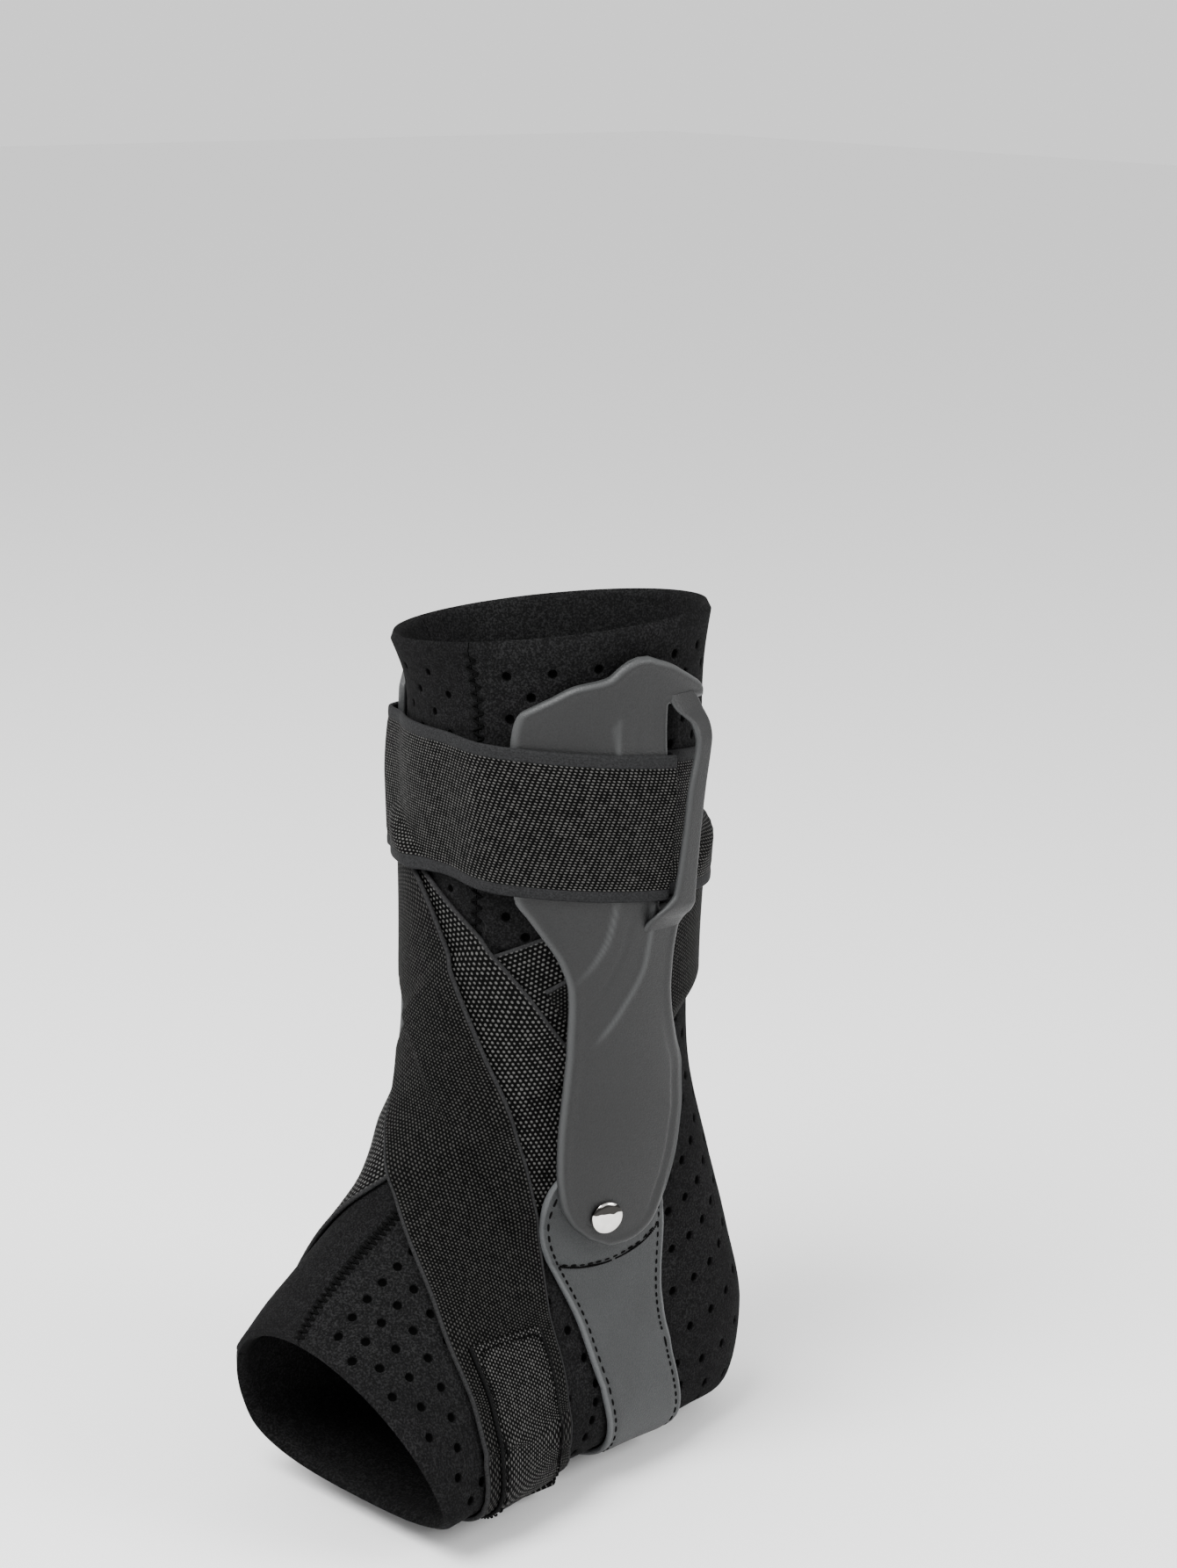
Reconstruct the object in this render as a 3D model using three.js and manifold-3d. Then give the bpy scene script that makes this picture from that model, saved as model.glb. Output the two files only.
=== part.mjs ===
// An ankle support wrap, in millimetres, for the left side, toes towards -Y and outer side towards +X.
// A thick knit sleeve carries a stirrup under the heel, two moulded splints riveted to the stirrup's
// ears, an upper strap through the splints' slots, and two elastic straps crossed over the instep.
import * as THREE from 'three';
import { mergeVertices } from 'three/addons/utils/BufferGeometryUtils.js';
import Module from 'manifold-3d';

const wasm = await Module();
wasm.setup();

// Sleeve sizes
const HEIGHT = 247;
const INSTEP_REACH = 99;
const HEEL_REACH = 69;
const HALF_WIDTH = 44;
const WALL = 3;
const SLEEVE_ROWS = 27;
const SLEEVE_COLUMNS = 32;

// Clearances between pieces that lie on each other
const SEAT_GAP = 0.6;
const CROSSING_GAP = 1.1;
const SEAM_GAP = 0.3;

// Splint sizes, and the rivets' place on the sleeve seen from the side
const ANKLE = { y: -13, z: 81 };
const MEDIAL_ANKLE = { y: -9, z: 75 };
const SPLINT_HEIGHT = 171;
const SPLINT_WIDTH = 48;
const SPLINT_BELOW_RIVET = 10;
const SPLINT_THICKNESS = 2.6;
const SPLINT_LIFT_AT_TOP = 3.2;
const SPLINT_PLAY = 0.4;
const MEDIAL_WING_SHARE = 0.55;
const SLOT_FRONT = 11.5;
const SLOT_TOP_BELOW_TIP = 15;
const SLOT_LENGTH = 57;
const BAR_THICKNESS = 2.2;

// Rivet sizes
const RIVET_HEAD_DIAMETER = 9.6;
const RIVET_HEAD_HEIGHT = 1.7;
const RIVET_SHANK_DIAMETER = 4.4;
const RIVET_HOLE_CLEARANCE = 0.3;
const RIVET_WASHER_DIAMETER = 8;
const RIVET_WASHER_THICKNESS = 0.8;
const RIVET_GAP = 0.5;

// Strap sizes
const CROSS_STRAP_WIDTH = 38;
const CROSS_STRAP_THICKNESS = 1.2;
const UPPER_STRAP_WIDTH = 41;
const UPPER_STRAP_THICKNESS = 1.4;
const UPPER_STRAP_ABOVE_SLOT_END = 2;
const UPPER_STRAP_SLOPE = 0.11;
const STIRRUP_WIDTH = 32;
const STIRRUP_EAR_WIDTH = 36;
const STIRRUP_THICKNESS = 1.8;
const END_PATCH_WIDTH = 27;
const END_PATCH_THICKNESS = 1.2;
const SOLE_PATCH_WIDTH = 40;
const SOLE_PATCH_THICKNESS = 2.6;

// How softly a strap climbs over the edge of what lies under it
const RAMP = 7;
const EDGE_MARGIN = 2;
const SLOT_RAMP = 4;

// Sections of the sleeve from the top rim to the toe opening. Out is a share of the reach, up of the
// height, the widths are shares of the half width, and share is where the section is widest.
const SECTION_COLUMNS = [
  'frontOut', 'frontUp', 'backOut', 'backUp', 'half', 'share', 'power', 'ridge', 'shift', 'tilt'];
const SECTIONS = [
  [0.485, 0.980, 0.638, 1.000, 1.020, 0.50, 2.0, 0.00, 0.020, 0.11],
  [0.444, 0.931, 0.609, 0.955, 0.959, 0.50, 2.0, 0.00, 0.034, 0.05],
  [0.430, 0.818, 0.609, 0.830, 0.936, 0.50, 2.0, 0.00, 0.034, 0.00],
  [0.413, 0.696, 0.594, 0.700, 0.898, 0.50, 2.0, 0.00, 0.023, 0.00],
  [0.410, 0.583, 0.600, 0.571, 0.870, 0.50, 2.0, 0.00, 0.010, 0.00],
  [0.420, 0.498, 0.638, 0.445, 0.870, 0.52, 2.0, 0.00, 0.000, 0.00],
  [0.452, 0.445, 0.754, 0.332, 0.898, 0.52, 2.1, -0.02, 0.000, 0.00],
  [0.515, 0.409, 0.913, 0.211, 0.886, 0.50, 2.2, -0.05, 0.000, 0.00],
  [0.566, 0.381, 1.000, 0.097, 0.841, 0.52, 2.4, -0.07, 0.023, 0.00],
  [0.616, 0.356, 0.884, 0.008, 0.818, 0.56, 2.6, -0.09, 0.045, 0.00],
  [0.677, 0.332, 0.551, 0.000, 0.841, 0.62, 2.8, -0.11, 0.068, 0.00],
  [0.758, 0.304, 0.087, 0.004, 0.886, 0.64, 2.8, -0.11, 0.091, 0.00],
  [0.848, 0.275, -0.377, 0.008, 0.932, 0.66, 2.8, -0.11, 0.136, 0.00],
  [0.929, 0.247, -0.768, 0.008, 0.977, 0.68, 2.8, -0.11, 0.182, 0.00],
  [1.000, 0.219, -1.145, 0.008, 1.000, 0.70, 2.8, -0.09, 0.239, 0.00],
];

// Edges of the front panel: along is the share of the sleeve's length, turn is in turns from the front
const PANEL_COLUMNS = ['along', 'inner', 'outer'];
const PANEL = [
  [0.00, -0.200, 0.050],
  [0.45, -0.200, 0.046],
  [0.72, -0.170, 0.040],
  [1.00, -0.150, 0.006],
];

// Splint outline: up is a share of the splint's height, front and rear are shares of its width
const SPLINT_COLUMNS = ['up', 'front', 'rear'];
const SPLINT_ROWS = [
  [0.000, 0.030, 0.083],
  [0.005, -0.010, 0.173],
  [0.015, -0.081, 0.240],
  [0.029, -0.135, 0.296],
  [0.043, -0.181, 0.327],
  [0.082, -0.244, 0.385],
  [0.129, -0.267, 0.437],
  [0.193, -0.252, 0.483],
  [0.228, -0.238, 0.502],
  [0.287, -0.215, 0.498],
  [0.345, -0.204, 0.437],
  [0.404, -0.204, 0.385],
  [0.444, -0.210, 0.371],
  [0.491, -0.250, 0.373],
  [0.542, -0.333, 0.396],
  [0.567, -0.375, 0.412],
  [0.599, -0.425, 0.427],
  [0.696, -0.458, 0.437],
  [0.854, -0.477, 0.500],
  [0.883, -0.473, 0.517],
  [0.906, -0.462, 0.525],
  [0.926, -0.404, 0.529],
  [0.936, -0.365, 0.510],
  [0.956, -0.279, 0.406],
  [0.968, -0.129, 0.333],
  [0.983, -0.079, 0.240],
  [0.994, -0.031, 0.135],
  [1.000, 0.020, 0.083],
];

// Bar that bridges the slot: share of the way from the slot's lower end to its upper end, the edges
// as for the plate, and rise from the plate to the bar's own lift
const BAR_COLUMNS = ['share', 'front', 'rear', 'rise'];
const BAR_ROWS = [
  [-0.1768, 0.104, 0.396, 0.00],
  [-0.1048, 0.125, 0.400, 0.30],
  [-0.0358, 0.146, 0.406, 0.80],
  [0.0182, 0.208, 0.406, 1.00],
  [0.0692, 0.260, 0.400, 1.00],
  [0.3512, 0.288, 0.400, 1.00],
  [0.5792, 0.302, 0.413, 1.00],
  [0.8072, 0.344, 0.448, 1.00],
  [0.8942, 0.333, 0.458, 0.80],
  [0.9812, 0.260, 0.458, 0.30],
  [1.0532, 0.229, 0.427, 0.00],
];

// Routes on the sleeve, each point as a share of its length from the top rim and in turns
const OUTER_STRAP_ROUTE = [
  [0.925, 0.485], [0.924, 0.43], [0.920, 0.37], [0.910, 0.308], [0.884, 0.245], [0.848, 0.205],
  [0.80, 0.163], [0.72, 0.121], [0.634, 0.086], [0.547, 0.052], [0.458, 0.010], [0.377, -0.026],
  [0.322, -0.053], [0.282, -0.082], [0.255, -0.13], [0.245, -0.20], [0.245, -0.28], [0.25, -0.38],
  [0.255, -0.50], [0.265, -0.57], [0.285, -0.65], [0.32, -0.73], [0.36, -0.79], [0.386, -0.832]];
const INNER_STRAP_START = [
  [0.925, -0.485], [0.924, -0.43], [0.920, -0.36], [0.90, -0.26], [0.86, -0.20], [0.80, -0.15],
  [0.73, -0.11], [0.64, -0.07], [0.55, -0.035], [0.47, 0.005], [0.41, 0.045], [0.37, 0.09],
  [0.345, 0.14], [0.32, 0.20], [0.295, 0.28], [0.275, 0.38], [0.262, 0.50]];
const INNER_STRAP_END = [
  [0.255, 0.60], [0.25, 0.72], [0.255, 0.82], [0.27, 0.90], [0.30, 0.96], [0.335, 1.01],
  [0.375, 1.05], [0.42, 1.083], [0.46, 1.113], [0.50, 1.142], [0.535, 1.164], [0.56, 1.178]];
const STIRRUP_SOLE_ROUTE = [
  [0.690, 0.226], [0.730, 0.252], [0.760, 0.298], [0.785, 0.355],
  [0.802, 0.420], [0.806, 0.500], [0.802, 0.580], [0.785, 0.646],
  [0.760, 0.703], [0.730, 0.749], [0.690, 0.775],
];
const SOLE_PATCH_ROUTE = [[0.925, 0.405], [0.926, 0.45], [0.926, 0.55], [0.925, 0.595]];
const END_PATCH_FROM = 26;
const END_PATCH_LENGTH = 54;

const COLORS = {
  sleeve: 0x1b1c1e, panel: 0x1f2022, splint: 0x3d3f40, steel: 0xc8c8c6, leather: 0x55585a,
  webbing: 0x262728, patch: 0x222324,
};
const MATERIALS = {
  sleeve: new THREE.MeshStandardMaterial({ color: COLORS.sleeve, roughness: 0.95, metalness: 0 }),
  panel: new THREE.MeshStandardMaterial({ color: COLORS.panel, roughness: 0.92, metalness: 0 }),
  splint: new THREE.MeshStandardMaterial({ color: COLORS.splint, roughness: 0.55, metalness: 0 }),
  steel: new THREE.MeshStandardMaterial({ color: COLORS.steel, roughness: 0.15, metalness: 1 }),
  leather: new THREE.MeshStandardMaterial({ color: COLORS.leather, roughness: 0.6, metalness: 0 }),
  webbing: new THREE.MeshStandardMaterial({ color: COLORS.webbing, roughness: 0.85, metalness: 0 }),
  patch: new THREE.MeshStandardMaterial({ color: COLORS.patch, roughness: 0.85, metalness: 0 }),
};

const TURN = 2 * Math.PI;

// Small number helpers

function mix(a, b, t) {
  return a + (b - a) * t;
}

function clamp(value, low, high) {
  return Math.min(high, Math.max(low, value));
}

function smoothstep(t) {
  const s = clamp(t, 0, 1);
  return s * s * (3 - 2 * s);
}

function named(columns, rows) {
  return rows.map((row) => Object.fromEntries(columns.map((name, i) => [name, row[i]])));
}

// Straight interpolation in a table whose first named column rises
function tableAt(table, key, x) {
  let i = 0;
  while (i < table.length - 2 && x > table[i + 1][key]) i += 1;
  const t = clamp((x - table[i][key]) / (table[i + 1][key] - table[i][key]), 0, 1);
  const entries = Object.keys(table[i]).map((name) => [name, mix(table[i][name], table[i + 1][name], t)]);
  return Object.fromEntries(entries);
}

// The sleeve's outer form, worked out from its sections

function sectionSizes(row) {
  return {
    frontY: -row.frontOut * INSTEP_REACH,
    frontZ: row.frontUp * HEIGHT,
    backY: row.backOut * HEEL_REACH,
    backZ: row.backUp * HEIGHT,
    half: row.half * HALF_WIDTH,
    share: row.share,
    power: row.power,
    ridge: row.ridge * HALF_WIDTH,
    shift: row.shift * HALF_WIDTH,
    tilt: row.tilt * HALF_WIDTH,
  };
}

const sections = named(SECTION_COLUMNS, SECTIONS).map(sectionSizes);
const knots = [0];
for (let i = 1; i < sections.length; i += 1) {
  const [a, b] = [sections[i - 1], sections[i]];
  const front = Math.hypot(b.frontY - a.frontY, b.frontZ - a.frontZ);
  const back = Math.hypot(b.backY - a.backY, b.backZ - a.backZ);
  knots.push(knots[i - 1] + (front + back) / 2);
}
const LENGTH = knots[knots.length - 1];
const GIRTH = 6 * HALF_WIDTH;

// Slope of each column at each section, for a smooth curve through all of them
function slopes(name) {
  const rise = sections.slice(1).map((row, i) => (row[name] - sections[i][name]) / (knots[i + 1] - knots[i]));
  return sections.map((row, i) => {
    if (i === 0) return rise[0];
    if (i === sections.length - 1) return rise[i - 1];
    const before = knots[i] - knots[i - 1];
    const after = knots[i + 1] - knots[i];
    return (rise[i - 1] * after + rise[i] * before) / (before + after);
  });
}
const slopeOf = Object.fromEntries(Object.keys(sections[0]).map((name) => [name, slopes(name)]));

function sectionAt(along) {
  const t = clamp(along, 0, 1) * LENGTH;
  let i = 0;
  while (i < knots.length - 2 && t > knots[i + 1]) i += 1;
  const span = knots[i + 1] - knots[i];
  const s = (t - knots[i]) / span;
  const beyond = Math.min(along, 0) * LENGTH;
  const section = {};
  for (const name of Object.keys(sections[0])) {
    const slope = slopeOf[name];
    section[name] = beyond * slope[0] + (2 * s ** 3 - 3 * s ** 2 + 1) * sections[i][name]
      + (s ** 3 - 2 * s ** 2 + s) * span * slope[i]
      + (3 * s ** 2 - 2 * s ** 3) * sections[i + 1][name]
      + (s ** 3 - s ** 2) * span * slope[i + 1];
  }
  return section;
}

// A point of the outer form: along 0 at the top rim and 1 at the toe opening, turn 0 at the front,
// a quarter at the outer side and a half at the back or sole
function surface(along, turn) {
  const s = sectionAt(along);
  const c = Math.cos(turn * TURN);
  const d = Math.sin(turn * TURN);
  const power = c > 0 ? 2 : s.power;
  const radius = (Math.abs(c) ** power + Math.abs(d) ** power) ** (-1 / power);
  const share = s.share - (c > 0 ? s.share : 1 - s.share) * radius * c;
  const x = s.half * radius * d;
  return new THREE.Vector3(
    s.shift + x + s.ridge * (1 - share) ** 2,
    mix(s.frontY, s.backY, share),
    mix(s.frontZ, s.backZ, share) + s.tilt * x / s.half);
}

const STEP = 1e-3;

function tangents(along, turn) {
  const high = Math.min(along + STEP, 1);
  const low = along < 0 ? along - STEP : Math.max(along - STEP, 0);
  const du = surface(high, turn).sub(surface(low, turn)).divideScalar(high - low);
  const dv = surface(along, turn + STEP).sub(surface(along, turn - STEP)).divideScalar(2 * STEP);
  return { du, dv, normal: du.clone().cross(dv).normalize() };
}

function lifted(along, turn, lift) {
  return surface(along, turn).addScaledVector(tangents(along, turn).normal, lift);
}

// A splint may stand above the rim, where the form runs straight on
const BEYOND_RIM = -0.4;

// The place on the outer form with this y and z, on the outer (+1) or inner (-1) side
function placeAtSide(y, z, side) {
  let along = clamp(1 - z / HEIGHT, 0, 1) * 0.75;
  let turn = side * 0.25;
  for (let i = 0; i < 40; i += 1) {
    const p = surface(along, turn);
    const { du, dv } = tangents(along, turn);
    const missY = y - p.y;
    const missZ = z - p.z;
    const det = du.y * dv.z - dv.y * du.z;
    const stepAlong = (missY * dv.z - missZ * dv.y) / det;
    const stepTurn = (missZ * du.y - missY * du.z) / det;
    along = clamp(along + clamp(stepAlong, -0.08, 0.08), BEYOND_RIM, 1);
    turn = side * clamp(side * (turn + clamp(stepTurn, -0.04, 0.04)), 0.02, 0.48);
  }
  return [along, turn];
}

// Closed meshes

function meshGeometry(points, faces) {
  const geometry = new THREE.BufferGeometry();
  geometry.setAttribute('position', new THREE.Float32BufferAttribute(points.flatMap((p) => p.toArray()), 3));
  geometry.setIndex(faces.flat());
  return geometry;
}

// A closed body between an outer and an inner grid of points with the same rows and columns. The
// rows run along the body and the columns so that the outer grid's faces point outwards.
function slab(outer, inner, around = false) {
  const rows = outer.length;
  const columns = outer[0].length;
  const points = [...outer.flat(), ...inner.flat()];
  const at = (layer, i, j) => layer * rows * columns + i * columns + (j % columns);
  const faces = [];
  const quad = (a, b, c, d) => faces.push([a, b, c], [a, c, d]);
  const last = around ? columns : columns - 1;
  for (let i = 0; i < rows - 1; i += 1) {
    for (let j = 0; j < last; j += 1) {
      quad(at(0, i, j), at(0, i + 1, j), at(0, i + 1, j + 1), at(0, i, j + 1));
      quad(at(1, i, j), at(1, i, j + 1), at(1, i + 1, j + 1), at(1, i + 1, j));
    }
    if (!around) {
      quad(at(0, i, 0), at(1, i, 0), at(1, i + 1, 0), at(0, i + 1, 0));
      quad(at(0, i, last), at(0, i + 1, last), at(1, i + 1, last), at(1, i, last));
    }
  }
  for (let j = 0; j < last; j += 1) {
    quad(at(0, 0, j), at(0, 0, j + 1), at(1, 0, j + 1), at(1, 0, j));
    quad(at(0, rows - 1, j), at(1, rows - 1, j), at(1, rows - 1, j + 1), at(0, rows - 1, j + 1));
  }
  return meshGeometry(points, faces);
}

function solid(geometry) {
  const bare = geometry.clone();
  bare.deleteAttribute('normal');
  bare.deleteAttribute('uv');
  const merged = mergeVertices(bare, 1e-4);
  return new wasm.Manifold(new wasm.Mesh({
    numProp: 3,
    vertProperties: new Float32Array(merged.attributes.position.array),
    triVerts: new Uint32Array(merged.index.array),
  }));
}

function fromSolid(body) {
  const mesh = body.getMesh();
  const geometry = new THREE.BufferGeometry();
  geometry.setAttribute('position', new THREE.Float32BufferAttribute(mesh.vertProperties, 3));
  geometry.setIndex([...mesh.triVerts]);
  return geometry;
}

// Sleeve and front panel, sewn edge to edge

const panelTable = named(PANEL_COLUMNS, PANEL);

function shell(columns, edgesAt) {
  const outer = [];
  const inner = [];
  for (let i = 0; i <= SLEEVE_ROWS; i += 1) {
    const along = i / SLEEVE_ROWS;
    const [from, to] = edgesAt(along);
    const turns = Array.from({ length: columns + 1 }, (_, j) => mix(from, to, j / columns));
    outer.push(turns.map((turn) => surface(along, turn)));
    inner.push(turns.map((turn) => lifted(along, turn, -WALL)));
  }
  return slab(outer, inner);
}

const HALF_SEAM = SEAM_GAP / 2 / GIRTH;

function panelEdges(along) {
  const row = tableAt(panelTable, 'along', along);
  return [row.inner + HALF_SEAM, row.outer - HALF_SEAM];
}

function sleeveEdges(along) {
  const row = tableAt(panelTable, 'along', along);
  return [row.outer + HALF_SEAM, 1 + row.inner - HALF_SEAM];
}

const PANEL_SHARE = 0.25;

function sleeveGeometry() {
  return shell(Math.round(SLEEVE_COLUMNS * (1 - PANEL_SHARE)), sleeveEdges);
}

function frontPanelGeometry() {
  return shell(Math.round(SLEEVE_COLUMNS * PANEL_SHARE), panelEdges);
}

// Routes: a smooth curve through the chosen points, with its places on the sleeve at even steps

const FINE_STEP = 1.5;

function route(points) {
  const curve = new THREE.CatmullRomCurve3(
    points.map(([along, turn]) => new THREE.Vector3(along * LENGTH, turn * GIRTH, 0)));
  const pieces = (points.length - 1) * 16;
  const raw = [];
  let length = 0;
  for (let i = 0; i <= pieces; i += 1) {
    const p = curve.getPoint(i / pieces);
    const place = { along: p.x / LENGTH, turn: p.y / GIRTH };
    place.point = surface(place.along, place.turn);
    if (i > 0) length += place.point.distanceTo(raw[i - 1].point);
    place.at = length;
    raw.push(place);
  }
  const count = Math.ceil(length / FINE_STEP);
  const places = [];
  let k = 0;
  for (let i = 0; i <= count; i += 1) {
    const at = length * i / count;
    while (k < raw.length - 2 && at > raw[k + 1].at) k += 1;
    const t = (at - raw[k].at) / (raw[k + 1].at - raw[k].at);
    const along = mix(raw[k].along, raw[k + 1].along, t);
    const turn = mix(raw[k].turn, raw[k + 1].turn, t);
    places.push({ at, along, turn, point: surface(along, turn) });
  }
  return { places, length };
}

// The places reached by walking straight over the sleeve from one place, at the given distances
function walk(start, direction, distances) {
  const reached = [];
  const heading = direction.clone();
  let { along, turn } = start;
  let gone = 0;
  for (const distance of distances) {
    while (gone < distance - 1e-9) {
      const step = Math.min(2, distance - gone);
      const { du, dv, normal } = tangents(along, turn);
      heading.addScaledVector(normal, -heading.dot(normal)).normalize();
      const [aa, ab, bb] = [du.dot(du), du.dot(dv), dv.dot(dv)];
      const [ha, hb] = [heading.dot(du) * step, heading.dot(dv) * step];
      const det = aa * bb - ab * ab;
      along = clamp(along + (ha * bb - hb * ab) / det, 0, 1);
      turn += (hb * aa - ha * ab) / det;
      gone += step;
    }
    reached.push({ along, turn });
  }
  return reached;
}

// How far a point lies outside a strap: below 0 within its two edges and its two cut ends
function outside(track, widthAt, point) {
  const { places } = track;
  let best = 0;
  let away = Infinity;
  places.forEach((place, i) => {
    const distance = place.point.distanceTo(point);
    if (distance < away) [best, away] = [i, distance];
  });
  const half = widthAt(places[best].at) / 2;
  if (best > 0 && best < places.length - 1) return away - half;
  const inner = places[best === 0 ? 1 : best - 1].point;
  const heading = places[best].point.clone().sub(inner).normalize();
  const past = point.clone().sub(places[best].point).dot(heading);
  const beside = Math.sqrt(Math.max(0, away ** 2 - past ** 2));
  return Math.max(past, beside - half);
}

// A strap as a layer: how high its underside and its upper face lie over the sleeve at a point
class Layer {
  constructor(track, widthAt, thickness, under, gap = SEAT_GAP) {
    this.track = track;
    this.widthAt = widthAt;
    this.thickness = thickness;
    this.under = under;
    this.gap = gap;
  }

  underside(point) {
    return this.gap + Math.max(0, ...this.under.map((layer) => layer.cover(point)));
  }

  cover(point) {
    const inside = smoothstep((EDGE_MARGIN + RAMP - outside(this.track, this.widthAt, point)) / RAMP);
    return inside > 0 ? inside * (this.underside(point) + this.thickness) : 0;
  }
}

const MAX_STEP = 12;
const MAX_BEND = 14 * Math.PI / 180;
const MAX_LIFT_CHANGE = 0.9;
const MAX_LIFT_TURN = 0.35;
const MAX_WIDTH_CHANGE = 5;

// Keeps the cross rows that are needed where a band bends, climbs or has run far enough
function neededRows(rows) {
  const kept = [rows[0]];
  for (let i = 1; i < rows.length - 1; i += 1) {
    const from = kept[kept.length - 1];
    const to = rows[i + 1];
    const bend = Math.max(...to.normals.map((normal, j) => normal.angleTo(from.normals[j])));
    const climb = Math.max(...to.lifts.map((lift, j) => Math.abs(lift - from.lifts[j])));
    const turns = rows[i].lifts.map((lift, j) => Math.abs(to.lifts[j] - 2 * lift + rows[i - 1].lifts[j]));
    const widening = Math.abs(to.width - from.width) > MAX_WIDTH_CHANGE;
    const far = to.at - from.at > MAX_STEP;
    const climbing = climb > MAX_LIFT_CHANGE || Math.max(...turns) > MAX_LIFT_TURN;
    if (far || widening || climbing || bend > MAX_BEND) kept.push(rows[i]);
  }
  kept.push(rows[rows.length - 1]);
  return kept;
}

function bandFromRows(rows, thickness, around = false) {
  const kept = neededRows(rows);
  const points = (extra) => kept.map((row) => row.places.map((place, j) => (
    surface(place.along, place.turn).addScaledVector(row.normals[j], row.lifts[j] + extra))));
  return slab(points(thickness), points(0), around);
}

// A band of cloth laid on the sleeve along its track, with its width at each distance. Its lift is
// looked up twice as densely as its columns, and each column takes the highest of its neighbours.
function bandRows(track, widthAt, liftAt, across) {
  return track.places.map((place, i) => {
    const before = track.places[Math.max(i - 1, 0)].point;
    const after = track.places[Math.min(i + 1, track.places.length - 1)].point;
    const heading = after.clone().sub(before).normalize();
    const { normal } = tangents(place.along, place.turn);
    const side = normal.clone().cross(heading);
    const width = widthAt(place.at);
    const half = width / 2;
    const distances = Array.from({ length: across }, (_, j) => half * (j + 1) / across);
    const left = walk(place, side, distances);
    const right = walk(place, side.clone().negate(), distances).reverse();
    const dense = [...right, { along: place.along, turn: place.turn }, ...left];
    const looked = dense.map((p) => liftAt(surface(p.along, p.turn), place));
    const columns = Array.from({ length: across + 1 }, (_, j) => 2 * j);
    const places = columns.map((k) => dense[k]);
    const normals = places.map((p) => tangents(p.along, p.turn).normal);
    const lifts = columns.map((k) => Math.max(...looked.slice(Math.max(k - 1, 0), k + 2)));
    return { at: place.at, width, places, normals, lifts };
  });
}

function bandGeometry(track, widthAt, thickness, liftAt, across) {
  return bandFromRows(bandRows(track, widthAt, liftAt, across), thickness);
}

// Rivets' places on the sleeve, and what lies at each

const sides = {
  lateral: { side: 1, ankle: ANKLE, wing: 1 },
  medial: { side: -1, ankle: MEDIAL_ANKLE, wing: MEDIAL_WING_SHARE },
};
for (const one of Object.values(sides)) {
  const [along, turn] = placeAtSide(one.ankle.y, one.ankle.z, one.side);
  one.along = along;
  one.turn = (turn + 1) % 1;
  one.point = surface(along, turn);
  one.normal = tangents(along, turn).normal;
}

const STRAP_STACK = 2 * (SEAT_GAP + CROSS_STRAP_THICKNESS);
const SPLINT_LIFT = STRAP_STACK + SEAT_GAP + SPLINT_PLAY;
const EAR_LIFT = SPLINT_LIFT - RIVET_GAP - STIRRUP_THICKNESS;
const BAR_LIFT = SPLINT_LIFT + SPLINT_THICKNESS + UPPER_STRAP_THICKNESS + 2 * SEAT_GAP;

// Tracks and layers, from the sleeve outwards. The inner cross strap passes over its own first
// stretch in front, so it counts as two layers.

const EAR_SETBACK = 0.004;
const LATE_TURN = 0.85;
const FRONT_TURN = 0.25;
const TAIL_TURN = -0.5;
const innerTrack = route([...INNER_STRAP_START, ...INNER_STRAP_END]);
const outerTrack = route(OUTER_STRAP_ROUTE);

function part(track, keep) {
  return { places: track.places.filter(keep) };
}

function crossLayer(track, under, gap = SEAT_GAP) {
  return new Layer(track, () => CROSS_STRAP_WIDTH, CROSS_STRAP_THICKNESS, under, gap);
}

const stirrupTrack = route([
  [sides.lateral.along - STIRRUP_EAR_WIDTH / 2 / LENGTH, sides.lateral.turn],
  [sides.lateral.along, sides.lateral.turn + EAR_SETBACK],
  ...STIRRUP_SOLE_ROUTE,
  [sides.medial.along, sides.medial.turn - EAR_SETBACK],
  [sides.medial.along - STIRRUP_EAR_WIDTH / 2 / LENGTH, sides.medial.turn],
]);
const EAR_NARROWING = 30;
const LEAST_EAR_WIDTH = 9;

function stirrupWidth(at) {
  const fromEnd = Math.min(at, stirrupTrack.length - at);
  const radius = STIRRUP_EAR_WIDTH / 2;
  if (fromEnd < radius) {
    return Math.max(LEAST_EAR_WIDTH, 2 * Math.sqrt(radius ** 2 - (radius - fromEnd) ** 2));
  }
  return mix(STIRRUP_EAR_WIDTH, STIRRUP_WIDTH, smoothstep((fromEnd - radius) / EAR_NARROWING));
}

const frontLayer = crossLayer(part(innerTrack, (place) => place.turn < FRONT_TURN), []);
const highLayer = crossLayer(part(innerTrack, (place) => place.turn >= LATE_TURN), [frontLayer]);
const lowLayer = crossLayer(part(innerTrack, (place) => place.turn < LATE_TURN), []);
const stirrupLayer = new Layer(stirrupTrack, stirrupWidth, STIRRUP_THICKNESS, [highLayer]);
const outerLayer = crossLayer(
  part(outerTrack, (place) => place.turn >= TAIL_TURN), [lowLayer, highLayer], CROSSING_GAP);
const tailLayer = crossLayer(part(outerTrack, (place) => place.turn < TAIL_TURN), [lowLayer]);
const crossLayers = [lowLayer, highLayer, outerLayer, tailLayer];

// Cross straps and what is sewn on them

const CROSS_STRAP_ACROSS = 4;

function innerStrapGeometry() {
  const lift = (point, place) => (place.turn < LATE_TURN ? lowLayer : highLayer).underside(point);
  const width = () => CROSS_STRAP_WIDTH;
  return bandGeometry(innerTrack, width, CROSS_STRAP_THICKNESS, lift, CROSS_STRAP_ACROSS);
}

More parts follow.
